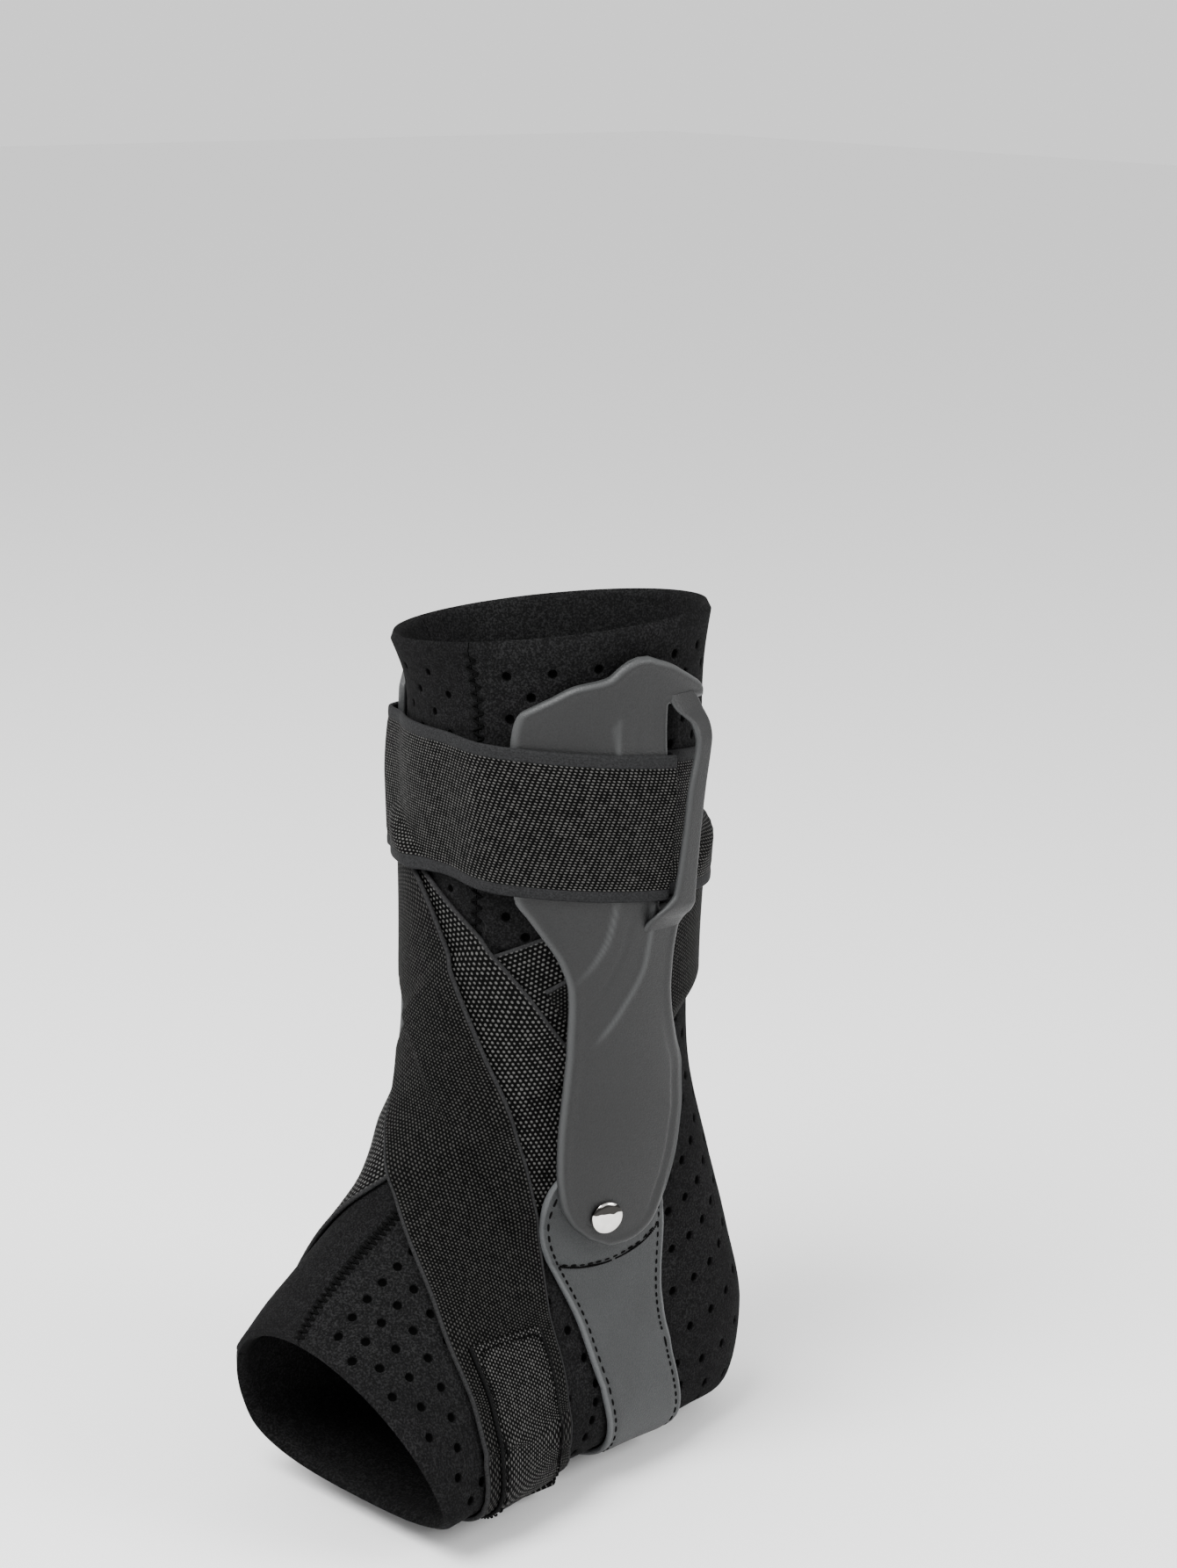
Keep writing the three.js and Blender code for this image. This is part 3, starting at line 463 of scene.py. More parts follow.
@dataclass
class Layer:
    """A strap as a layer: how high it lies over the sleeve at any point."""

    places: Array
    width: Callable[[Array], Array]
    thickness: float
    under: Sequence["Layer"] = ()
    gap: float = STACK.seat

    @cached_property
    def line(self) -> Array:
        """Return the points of the strap's middle line."""
        return FORM.surface(self.places[:, 1], self.places[:, 2])

    def outside(self, points: Array) -> Array:
        """Return how far each point lies outside the strap, below 0 within it."""
        flat = points.reshape(-1, 3)
        out = np.empty(len(flat))
        line = self.line
        last = len(line) - 1
        half = self.width(self.places[:, 0]) / 2
        head = unit(np.array([line[0] - line[1], line[last] - line[last - 1]]))
        for start in range(0, len(flat), 4000):
            chunk = flat[start : start + 4000]
            away = np.linalg.norm(chunk[:, None] - line[None], axis=2)
            best = away.argmin(1)
            near = away[np.arange(len(chunk)), best]
            value = near - half[best]
            for end, direction in ((0, head[0]), (last, head[1])):
                at_end = best == end
                past = (chunk - line[end]) @ direction
                beside = np.sqrt(np.maximum(0, near**2 - past**2))
                value = np.where(at_end, np.maximum(past, beside - half[end]), value)
            out[start : start + 4000] = value
        return out.reshape(points.shape[:-1])

    def underside(self, points: Array) -> Array:
        """Return the height of the strap's underside at each point."""
        height = np.zeros(points.shape[:-1])
        for layer in self.under:
            height = np.maximum(height, layer.cover(points))
        return self.gap + height

    def cover(self, points: Array) -> Array:
        """Return the height of what lies on top of the strap, falling to 0 beside it."""
        outside = self.outside(points)
        inside = ease((STACK.margin + STACK.ramp - outside) / STACK.ramp)
        found = np.zeros(outside.shape)
        near = inside > 0
        if near.any():
            found[near] = inside[near] * (self.underside(points[near]) + self.thickness)
        return found


@dataclass
class MeshData:
    """A mesh in the making: points in millimetres with values at each point."""

    points: Array
    faces: list[Sequence[int]]
    uv: Array | None = None
    values: dict[str, Array] = field(default_factory=dict)

    def joined(self, other: "MeshData") -> "MeshData":
        """Return this mesh and another one as one mesh."""
        shift = len(self.points)
        faces = self.faces + [[i + shift for i in face] for face in other.faces]
        uv = None if self.uv is None or other.uv is None else np.vstack([self.uv, other.uv])
        names = self.values.keys() | other.values.keys()
        blank, other_blank = np.zeros(shift), np.zeros(len(other.points))
        values = {
            name: np.concatenate([self.values.get(name, blank), other.values.get(name, other_blank)])
            for name in names
        }
        return MeshData(np.vstack([self.points, other.points]), faces, uv, values)

    def to_object(self, name: str, sharp: float = 50.0) -> bpy.types.Object:
        """Make the Blender object.

        Args:
            name: The piece's name.
            sharp: Angle in degrees over which an edge is shaded sharp.

        Returns:
            The object, linked to the scene.
        """
        mesh = bpy.data.meshes.new(name)
        mesh.from_pydata(FORM.to_frame(self.points).tolist(), [], self.faces)
        mesh.update()
        mesh.polygons.foreach_set("use_smooth", np.ones(len(mesh.polygons), bool))
        mesh.set_sharp_from_angle(angle=math.radians(sharp))
        if self.uv is not None:
            loops = np.empty(len(mesh.loops), np.int32)
            mesh.loops.foreach_get("vertex_index", loops)
            layer = mesh.uv_layers.new(name="cloth")
            layer.data.foreach_set("uv", self.uv[loops].astype(np.float32).ravel())
        for key, value in self.values.items():
            attribute = mesh.attributes.new(key, "FLOAT", "POINT")
            attribute.data.foreach_set("value", np.asarray(value, np.float32))
        piece = bpy.data.objects.new(name, mesh)
        bpy.context.scene.collection.objects.link(piece)
        return piece


def grid_quads(rows: int, columns: int, around: bool = False, start: int = 0) -> list[list[int]]:
    """Return the quads of a grid of points, row by row.

    Args:
        rows: Number of rows.
        columns: Number of columns.
        around: Whether the last column joins the first one.
        start: Index of the grid's first point.

    Returns:
        The faces.
    """
    last = columns if around else columns - 1
    i, j = np.meshgrid(np.arange(rows - 1), np.arange(last), indexing="ij")
    k = (j + 1) % columns
    a, b = i * columns + j, (i + 1) * columns + j
    c, d = (i + 1) * columns + k, i * columns + k
    return (np.stack([a, b, c, d], -1).reshape(-1, 4) + start).tolist()


@dataclass(frozen=True)
class BandSection:
    """The cross section of a strap: where its columns lie and how its edges are rounded."""

    width: float
    thickness: float
    columns: int = 24
    rounding: int = 3

    def loop(self) -> tuple[Array, Array]:
        """Return the loop's distances in from the nearer edge, signed by side, and heights from 0 to 1.

        The loop runs over the top from the right side to the left and back underneath.
        """
        angles = np.linspace(0, math.pi / 2, self.rounding + 1)
        inset = self.thickness / 2 * (1 - np.cos(angles))
        rise = 0.5 + 0.5 * np.sin(angles)
        inner = np.linspace(inset[-1], self.width - inset[-1], self.columns + 1)[1:-1]
        top = np.concatenate([inset, inner, self.width - inset[::-1]])
        height = np.concatenate([rise, np.ones(len(inner)), rise[::-1]])
        return (
            np.concatenate([top, top[::-1][1:-1]]) / self.width * 2 - 1,
            np.concatenate([height, 1 - height[::-1][1:-1]]),
        )


@dataclass
class Band:
    """A strap laid over the form along a route."""

    places: Array
    section: BandSection
    width: Callable[[Array], Array]
    lift: Lift
    relief: Height | None = None

    def grid(self) -> tuple[Array, Array, Array, Array]:
        """Return along, turn and distance across the strap of each point, and its loop's heights."""
        share, height = self.section.loop()
        at, along, turn = self.places.T
        middle, _, _, normal = FORM.frame_at(along, turn)
        heading = unit(np.gradient(middle, axis=0))
        side = np.cross(normal, heading)
        half = self.width(at) / 2
        unique = np.unique(np.round(np.abs(share), 6))
        distances = half[:, None] * unique[None]
        left = FORM.walk(along, turn, side, distances)
        right = FORM.walk(along, turn, -side, distances)
        index = np.searchsorted(unique, np.round(np.abs(share), 6))
        pick = share[None] >= 0
        grid_along = np.where(pick, left[0][:, index], right[0][:, index])
        grid_turn = np.where(pick, left[1][:, index], right[1][:, index])
        return grid_along, grid_turn, half[:, None] * share[None], height

    def mesh(self) -> MeshData:
        """Return the strap's closed mesh, with UV in metres and each point's distance from an edge."""
        along, turn, across, height = self.grid()
        at = np.broadcast_to(self.places[:, :1], across.shape)
        base, _, _, normal = FORM.frame_at(along, turn)
        lift = self.lift(base, at)
        edge = self.width(self.places[:, 0])[:, None] / 2 - np.abs(across)
        extra = np.zeros(across.shape)
        if self.relief is not None:
            extra = self.relief(at, across, edge) * (height > 0.5)
        points = base + normal * (lift + height[None] * self.section.thickness + extra)[..., None]
        rows, columns = across.shape
        faces = grid_quads(rows, columns, around=True)
        faces.append(list(range(columns)))
        faces.append(list(range((rows - 1) * columns, rows * columns))[::-1])
        uv = np.stack([at, across], -1).reshape(-1, 2) / 1000
        values = {"edge": edge.ravel(), "extra": extra.ravel()}
        return MeshData(points.reshape(-1, 3), faces, uv, values)


def steady(width: float) -> Callable[[Array], Array]:
    """Return a width that is the same all along a strap."""
    return lambda at: np.full(np.shape(at), width)


@dataclass(frozen=True)
class Thread:
    """A sewing thread, laid as short tapered stitches."""

    radius: float
    lift: float
    pitch: float = 1.0
    first: float = 0.0
    share: float = 1.0
    sides: int = 6
    # Columns: share of a stitch's length, of the thread's radius and of its lift
    shape: tuple[tuple[float, float, float], ...] = (
        (0.0, 0.35, 0.0), (0.12, 0.9, 0.55), (0.35, 1.0, 1.0),
        (0.65, 1.0, 1.0), (0.88, 0.9, 0.55), (1.0, 0.35, 0.0),
    )

    def stitches(self, starts: Array, ends: Array, normals: Array) -> MeshData:
        """Return a mesh of stitches.

        Args:
            starts: Where each stitch goes in.
            ends: Where each stitch comes out.
            normals: The outward direction at each stitch.

        Returns:
            The mesh.
        """
        count = len(starts)
        t, size, rise = np.array(self.shape).T
        middle = starts[:, None] + (ends - starts)[:, None] * t[None, :, None]
        middle = middle + normals[:, None] * (self.lift * rise)[None, :, None]
        heading = unit(ends - starts)
        side = unit(np.cross(normals, heading))
        angle = np.arange(self.sides) / self.sides * TURN
        cos, sin = np.cos(angle)[None, :, None], np.sin(angle)[None, :, None]
        ring = side[:, None] * cos + normals[:, None] * sin
        points = middle[:, :, None] + ring[:, None] * (self.radius * size)[None, :, None, None]
        per = len(t) * self.sides
        faces: list[Sequence[int]] = []
        quads = np.array(grid_quads(len(t), self.sides, around=True))
        cap_low, cap_high = list(range(self.sides))[::-1], list(range(per - self.sides, per))
        for i in range(count):
            faces.extend((quads[:, ::-1] + i * per).tolist())
            faces.append([k + i * per for k in cap_low])
            faces.append([k + i * per for k in cap_high])
        total = points.reshape(-1, 3)
        return MeshData(total, faces, np.zeros((len(total), 2)), {})

    def dashes(self, track: Track, outline: Array, height: Height) -> MeshData:
        """Return dashes of thread along an outline on a strap.

        Args:
            track: The strap's route.
            outline: Rows of distance along the strap and distance across it.
            height: Gives the height over the form at points, distances along and distances across.

        Returns:
            The mesh.
        """
        gone = travelled(outline)
        starts = np.arange(self.first, gone[-1] - self.pitch, self.pitch)
        both = np.concatenate([starts, starts + self.pitch * self.share])
        at, across = np.interp(both, gone, outline[:, 0]), np.interp(both, gone, outline[:, 1])
        point, out = track.beside(at, across)
        ends = point + out * height(point, at, across)[:, None]
        count = len(starts)
        return self.stitches(ends[:count], ends[count:], out[:count])


def tinted(color: Color, factor: float) -> Color:
    """Return a color made lighter or darker by a factor."""
    red, green, blue = color
    return red * factor, green * factor, blue * factor


class Shader:
    """A small helper that lays out one material's nodes."""

    def __init__(self, name: str) -> None:
        """Start a material with a Principled shader.

        Args:
            name: The material's name.
        """
        self.material = bpy.data.materials.new(name)
        self.material.use_nodes = True
        self.nodes = self.material.node_tree.nodes
        self.links = self.material.node_tree.links
        self.surface = self.nodes["Principled BSDF"]

    def put(self, node: bpy.types.Node, socket: str | int, value: Value | None) -> None:
        """Link a socket to another one, or set its value."""
        target = node.inputs[socket]
        if isinstance(value, Socket):
            self.links.new(value, target)
        elif value is not None:
            target.default_value = value

    def make(self, kind: str, **settings: object) -> bpy.types.Node:
        """Add a node and set its properties."""
        node = self.nodes.new(kind)
        for key, value in settings.items():
            setattr(node, key, value)
        return node

    def math(self, operation: str, a: Value, b: Value | None = None) -> Socket:
        """Return the result of a Math node."""
        node = self.make("ShaderNodeMath", operation=operation)
        for i, value in enumerate((a, b)):
            self.put(node, i, value)
        return node.outputs[0]

    def place(self) -> Socket:
        """Return the object's own coordinates in metres."""
        return self.make("ShaderNodeTexCoord").outputs["Object"]

    def cloth(self) -> tuple[Socket, Socket]:
        """Return the distances along and across a strap in metres."""
        split = self.make("ShaderNodeSeparateXYZ")
        self.put(split, 0, self.make("ShaderNodeTexCoord").outputs["UV"])
        return split.outputs[0], split.outputs[1]

    def value_of(self, name: str) -> Socket:
        """Return a value kept at the mesh's points."""
        return self.make("ShaderNodeAttribute", attribute_name=name).outputs["Fac"]

    def noise(self, size: float, detail: float = 2.0) -> Socket:
        """Return a noise whose features are about size millimetres wide."""
        node = self.make("ShaderNodeTexNoise")
        self.put(node, "Vector", self.place())
        node.inputs["Scale"].default_value = 1000 / size
        node.inputs["Detail"].default_value = detail
        return node.outputs["Fac"]

    def ramp(self, factor: Value, stops: Sequence[tuple[float, Sequence[float]]]) -> Socket:
        """Return a colour ramp's colour."""
        node = self.make("ShaderNodeValToRGB")
        self.put(node, 0, factor)
        elements = node.color_ramp.elements
        while len(elements) < len(stops):
            elements.new(0.5)
        for element, (at, color) in zip(elements, stops):
            element.position = at
            element.color = (*color, 1.0)
        return node.outputs["Color"]

    def blend(self, factor: Value, a: Value, b: Value) -> Socket:
        """Return a mix of two colours."""
        node = self.make("ShaderNodeMix", data_type="RGBA")
        self.put(node, 0, factor)
        self.put(node, 6, a)
        self.put(node, 7, b)
        return node.outputs[2]

    def between(
        self, value: Value, low: float, high: float, to_low: float = 0.0, to_high: float = 1.0
    ) -> Socket:
        """Return a value mapped smoothly from one range to another."""
        node = self.make("ShaderNodeMapRange", interpolation_type="SMOOTHSTEP")
        self.put(node, 0, value)
        for i, number in enumerate((low, high, to_low, to_high)):
            node.inputs[i + 1].default_value = number
        return node.outputs[0]

    def bump(self, height: Value, distance: float) -> None:
        """Add relief to the surface, distance in millimetres."""
        node = self.make("ShaderNodeBump")
        node.inputs["Strength"].default_value = 1.0
        node.inputs["Distance"].default_value = distance / 1000
        self.put(node, "Height", height)
        earlier = self.surface.inputs["Normal"].links
        if earlier:
            self.put(node, "Normal", earlier[0].from_socket)
        self.put(self.surface, "Normal", node.outputs[0])


@dataclass(frozen=True)
class KnitFinish:
    """Thick mottled knit, with painted shade in its pits."""

    name: str
    dark: Color = (0.0034, 0.0034, 0.0035)
    light: Color = (0.0135, 0.0135, 0.0138)
    loop: float = 0.6
    relief: float = 0.22

    def material(self) -> bpy.types.Material:
        """Build the material."""
        s = Shader(self.name)
        loops = s.noise(self.loop, 2.0)
        tufts = s.noise(self.loop * 3.2, 1.0)
        broad = s.noise(34.0, 2.0)
        height = s.math("ADD", loops, s.math("MULTIPLY", tufts, 0.22))
        middle = tuple((a + b) * 0.35 for a, b in zip(self.dark, self.light))
        shade = s.ramp(
            s.between(height, 0.42, 0.82),
            [(0.0, self.dark), (0.45, middle), (1.0, self.light)],
        )
        shade = s.blend(s.between(broad, 0.3, 0.75, 0.0, 0.45), shade, (*self.dark, 1.0))
        # The "pit" value paints shade into the blind perforations, near black at their bottoms.
        pit = s.between(s.value_of("pit"), 0.2, 0.9)
        s.put(s.surface, "Base Color", s.blend(pit, shade, (0.0006, 0.0006, 0.0006, 1.0)))
        s.surface.inputs["Roughness"].default_value = 0.97
        s.surface.inputs["Specular IOR Level"].default_value = 0.03
        s.bump(height, self.relief)
        return s.material


class Weave(Enum):
    """How an elastic strap is woven."""

    COARSE = "coarse_elastic"
    RIBBED = "ribbed_elastic"
    DIAGONAL = "diagonal_elastic"
    FINE = "fine_elastic"


@dataclass(frozen=True)
class WeaveFinish:
    """Elastic webbing woven in staggered dots, with plain selvedges, a painted highlight on each dot's
    crown and painted shade in the gaps.
    """

    weave: Weave
    along: float = 1.5
    across: float = 1.1
    selvedge: float = 0.9
    # The gap colour is painted shade between the dots, and the brightest colour is a painted highlight on
    # their crowns.
    gap: Color = (0.0009, 0.0009, 0.0009)
    thread: Color = (0.0055, 0.0054, 0.0052)
    painted_highlight: Color = (0.05, 0.0495, 0.048)
    border: Color = (0.021, 0.021, 0.0215)
    relief: float = 0.3
    slant: float = 0.0
    # Whole number of cells that keeps the counts of rows and cells above 0
    shift: float = 500.0

    def from_middle(self, s: Shader, count: Socket) -> Socket:
        """Return the distance from a cell's middle, as a share of the cell."""
        share = s.math("FRACT", s.math("ADD", count, self.shift))
        return s.math("ABSOLUTE", s.math("SUBTRACT", share, 0.5))

    def material(self) -> bpy.types.Material:
        """Build the material."""
        s = Shader(self.weave.value)
        u, v = s.cloth()
        if self.slant:
            u = s.math("ADD", u, s.math("MULTIPLY", v, self.slant))
        row = s.math("DIVIDE", v, self.across / 1000)
        odd = s.math("MODULO", s.math("FLOOR", s.math("ADD", row, self.shift)), 2.0)
        cell = s.math("ADD", s.math("DIVIDE", u, self.along / 1000), s.math("MULTIPLY", odd, 0.5))
        x, y = self.from_middle(s, cell), self.from_middle(s, row)
        far = s.math("SQRT", s.math("ADD", s.math("POWER", x, 2.0), s.math("POWER", y, 2.0)))
        wobble = s.math("SUBTRACT", s.noise(self.along * 1.4, 1.0), 0.5)
        dome = s.math("ADD", s.between(far, 0.56, 0.08), s.math("MULTIPLY", wobble, 0.95))
        # The ramp paints shade into the gaps and a highlight on each dot's crown.
        color = s.ramp(dome, [(0.28, self.gap), (0.52, self.thread), (0.86, self.painted_highlight)])
        edge = s.value_of("edge")
        border = s.between(edge, self.selvedge + 0.25, self.selvedge - 0.25)
        fine = s.noise(0.5, 1.0)
        plain = s.ramp(fine, [(0.25, tinted(self.border, 0.45)), (0.75, self.border)])
        s.put(s.surface, "Base Color", s.blend(border, color, plain))
        s.surface.inputs["Roughness"].default_value = 0.7
        s.surface.inputs["Specular IOR Level"].default_value = 0.03
        height = s.math("MULTIPLY", dome, s.math("SUBTRACT", 1.0, s.math("MULTIPLY", border, 0.8)))
        s.bump(height, self.relief)
        s.bump(fine, 0.05)
        return s.material


@dataclass(frozen=True)
class MouldedFinish:
    """Satin moulded plastic with a sandblasted grain, painted highlights along its rims and creases and
    painted shade in its valley and along the flange's foot.
    """

    name: str
    color: Color = (0.0066, 0.0068, 0.007)
    # Painted highlight colour for the rims and the crease ridges.
    rim: Color = (0.036, 0.0375, 0.038)

    def material(self) -> bpy.types.Material:
        """Build the material."""
        s = Shader(self.name)
        grain = s.noise(0.45, 2.0)
        cloud = s.noise(22.0, 2.0)
        body = s.ramp(cloud, [(0.3, tinted(self.color, 0.9)), (0.75, tinted(self.color, 1.1))])
        speck = s.blend(s.between(grain, 0.35, 0.7, 0.0, 0.7), body, (*tinted(self.color, 0.5), 1.0))
        # Painted highlight along the rims and creases, painted shade in the valley and along the flange's
        # foot.
        rim = s.between(s.value_of("edge"), 1.7, 0.5, 0.0, 0.75)
        light = s.math("MAXIMUM", rim, s.value_of("crease"))
        dark = s.between(s.value_of("valley"), 0.0, 1.0, 0.0, 0.6)
        color = s.blend(light, speck, (*self.rim, 1.0))
        s.put(s.surface, "Base Color", s.blend(dark, color, (0.006, 0.0062, 0.0065, 1.0)))
        s.put(s.surface, "Roughness", s.between(grain, 0.2, 0.8, 0.44, 0.56))
        s.surface.inputs["Specular IOR Level"].default_value = 0.3
        s.bump(grain, 0.14)
        return s.material


@dataclass(frozen=True)
class LeatherFinish:
    """Grained synthetic leather, lighter on its rolled edges, with a dark line along the ear overlays'
    edges that is partly painted shade.
    """

    name: str
    color: Color = (0.0195, 0.021, 0.0216)
    edge: Color = (0.065, 0.068, 0.07)

    def material(self) -> bpy.types.Material:
        """Build the material."""
        s = Shader(self.name)
        cells = s.make("ShaderNodeTexVoronoi", feature="DISTANCE_TO_EDGE")
        s.put(cells, "Vector", s.place())
        cells.inputs["Scale"].default_value = 1000 / 0.85
        grain = s.between(cells.outputs[0], 0.0, 0.16)
        fine = s.noise(0.4, 2.0)
        cloud = s.noise(18.0, 2.0)
        body = s.ramp(cloud, [(0.3, tinted(self.color, 0.86)), (0.72, tinted(self.color, 1.14))])
        dark = (*tinted(self.color, 0.45), 1.0)
        body = s.blend(s.between(grain, 0.0, 1.0, 0.35, 0.0), body, dark)
        light = s.between(s.value_of("edge"), 1.5, 0.7, 0.0, 0.75)
        color = s.blend(light, body, (*self.edge, 1.0))
        # A dark seam line under the ear overlay's edge, partly painted shade from the overlay's step.
        groove = s.between(s.value_of("groove"), 0.25, 1.0)
        s.put(s.surface, "Base Color", s.blend(groove, color, (0.004, 0.004, 0.0043, 1.0)))
        s.put(s.surface, "Roughness", s.between(fine, 0.2, 0.8, 0.5, 0.66))
        s.surface.inputs["Specular IOR Level"].default_value = 0.28
        s.bump(grain, 0.06)
        s.bump(fine, 0.04)
        return s.material


@dataclass(frozen=True)
class NickelFinish:
    """Polished nickel with fine turning marks, a few scuffs and a painted dark reflection band across the
    head.
    """

    name: str
    color: Color = (0.74, 0.72, 0.69)
    # Colour of the painted dark reflection on the head.
    painted_reflection: Color = (0.009, 0.008, 0.007)

    def material(self) -> bpy.types.Material:
        """Build the material."""
        s = Shader(self.name)
        scuff = s.noise(1.6, 3.0)
        bright = s.ramp(scuff, [(0.3, tinted(self.color, 0.86)), (0.7, self.color)])
        # The band paints a dark reflection across the head, broken up by noise.
        wave = s.math("ADD", s.value_of("shade"), s.between(s.noise(4.0, 1.0), 0.3, 0.7, -0.45, 0.45))
        painted_reflection = s.between(wave, 0.4, 0.65, 0.0, 0.97)
        s.put(s.surface, "Base Color", s.blend(painted_reflection, bright, (*self.painted_reflection, 1.0)))
        s.surface.inputs["Metallic"].default_value = 1.0
        s.put(s.surface, "Roughness", s.between(scuff, 0.35, 0.8, 0.1, 0.22))
        s.bump(scuff, 0.01)
        return s.material


@dataclass(frozen=True)
class ThreadFinish:
    """Twisted sewing thread."""

    name: str
    color: Color = (0.0012, 0.0012, 0.0012)

    def material(self) -> bpy.types.Material:
        """Build the material."""
        s = Shader(self.name)
        twist = s.noise(0.4, 1.0)
        color = s.ramp(twist, [(0.3, tinted(self.color, 0.5)), (0.7, tinted(self.color, 1.8))])
        s.put(s.surface, "Base Color", color)
        s.surface.inputs["Roughness"].default_value = 0.95
        s.surface.inputs["Specular IOR Level"].default_value = 0.05
        s.bump(twist, 0.08)
        return s.material


# Each weave's brightest colour is the painted highlight on its dots' crowns.
WEAVES = (
    WeaveFinish(Weave.COARSE, along=1.45, across=1.25, painted_highlight=(0.062, 0.0615, 0.0595)),
    WeaveFinish(Weave.RIBBED, along=1.1, across=0.95, painted_highlight=(0.03, 0.0295, 0.028)),
    WeaveFinish(
        Weave.DIAGONAL, along=1.2, across=0.78, selvedge=3.4, slant=0.45,
        painted_highlight=(0.063, 0.0619, 0.0596), border=(0.019, 0.0192, 0.0198),
    ),
    WeaveFinish(
        Weave.FINE, along=1.15, across=0.95, selvedge=0.9, thread=(0.0078, 0.0077, 0.0075),
        painted_highlight=(0.062, 0.061, 0.059), border=(0.0045, 0.0045, 0.0046),
    ),
)


class Finishes:
    """Every finish of the wrap, built once."""

    def __init__(self) -> None:
        """Build the materials."""
        self.knit = KnitFinish("mottled_knit").material()
        smooth = KnitFinish("smooth_knit", light=(0.0115, 0.0115, 0.0118), loop=0.5, relief=0.12)
        self.smooth_knit = smooth.material()
        self.weave = {finish.weave: finish.material() for finish in WEAVES}
        self.moulded = MouldedFinish("moulded_plastic").material()
        self.leather = LeatherFinish("grained_leather").material()
        self.nickel = NickelFinish("polished_nickel").material()
        self.thread = ThreadFinish("black_thread").material()


def settle(
    piece: bpy.types.Object, material: bpy.types.Material, replaces: Iterable[str] = ()
) -> None:
    """Dress a piece and tie it to the frame.

    Args:
        piece: The piece.
        material: Its material.
        replaces: The nodes of the frame that it stands for.
    """
    piece.data.materials.append(material)
    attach(piece, "root")
    if replaces:
        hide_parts(*replaces)
    log.info("%s: %d faces", piece.name, len(piece.data.polygons))


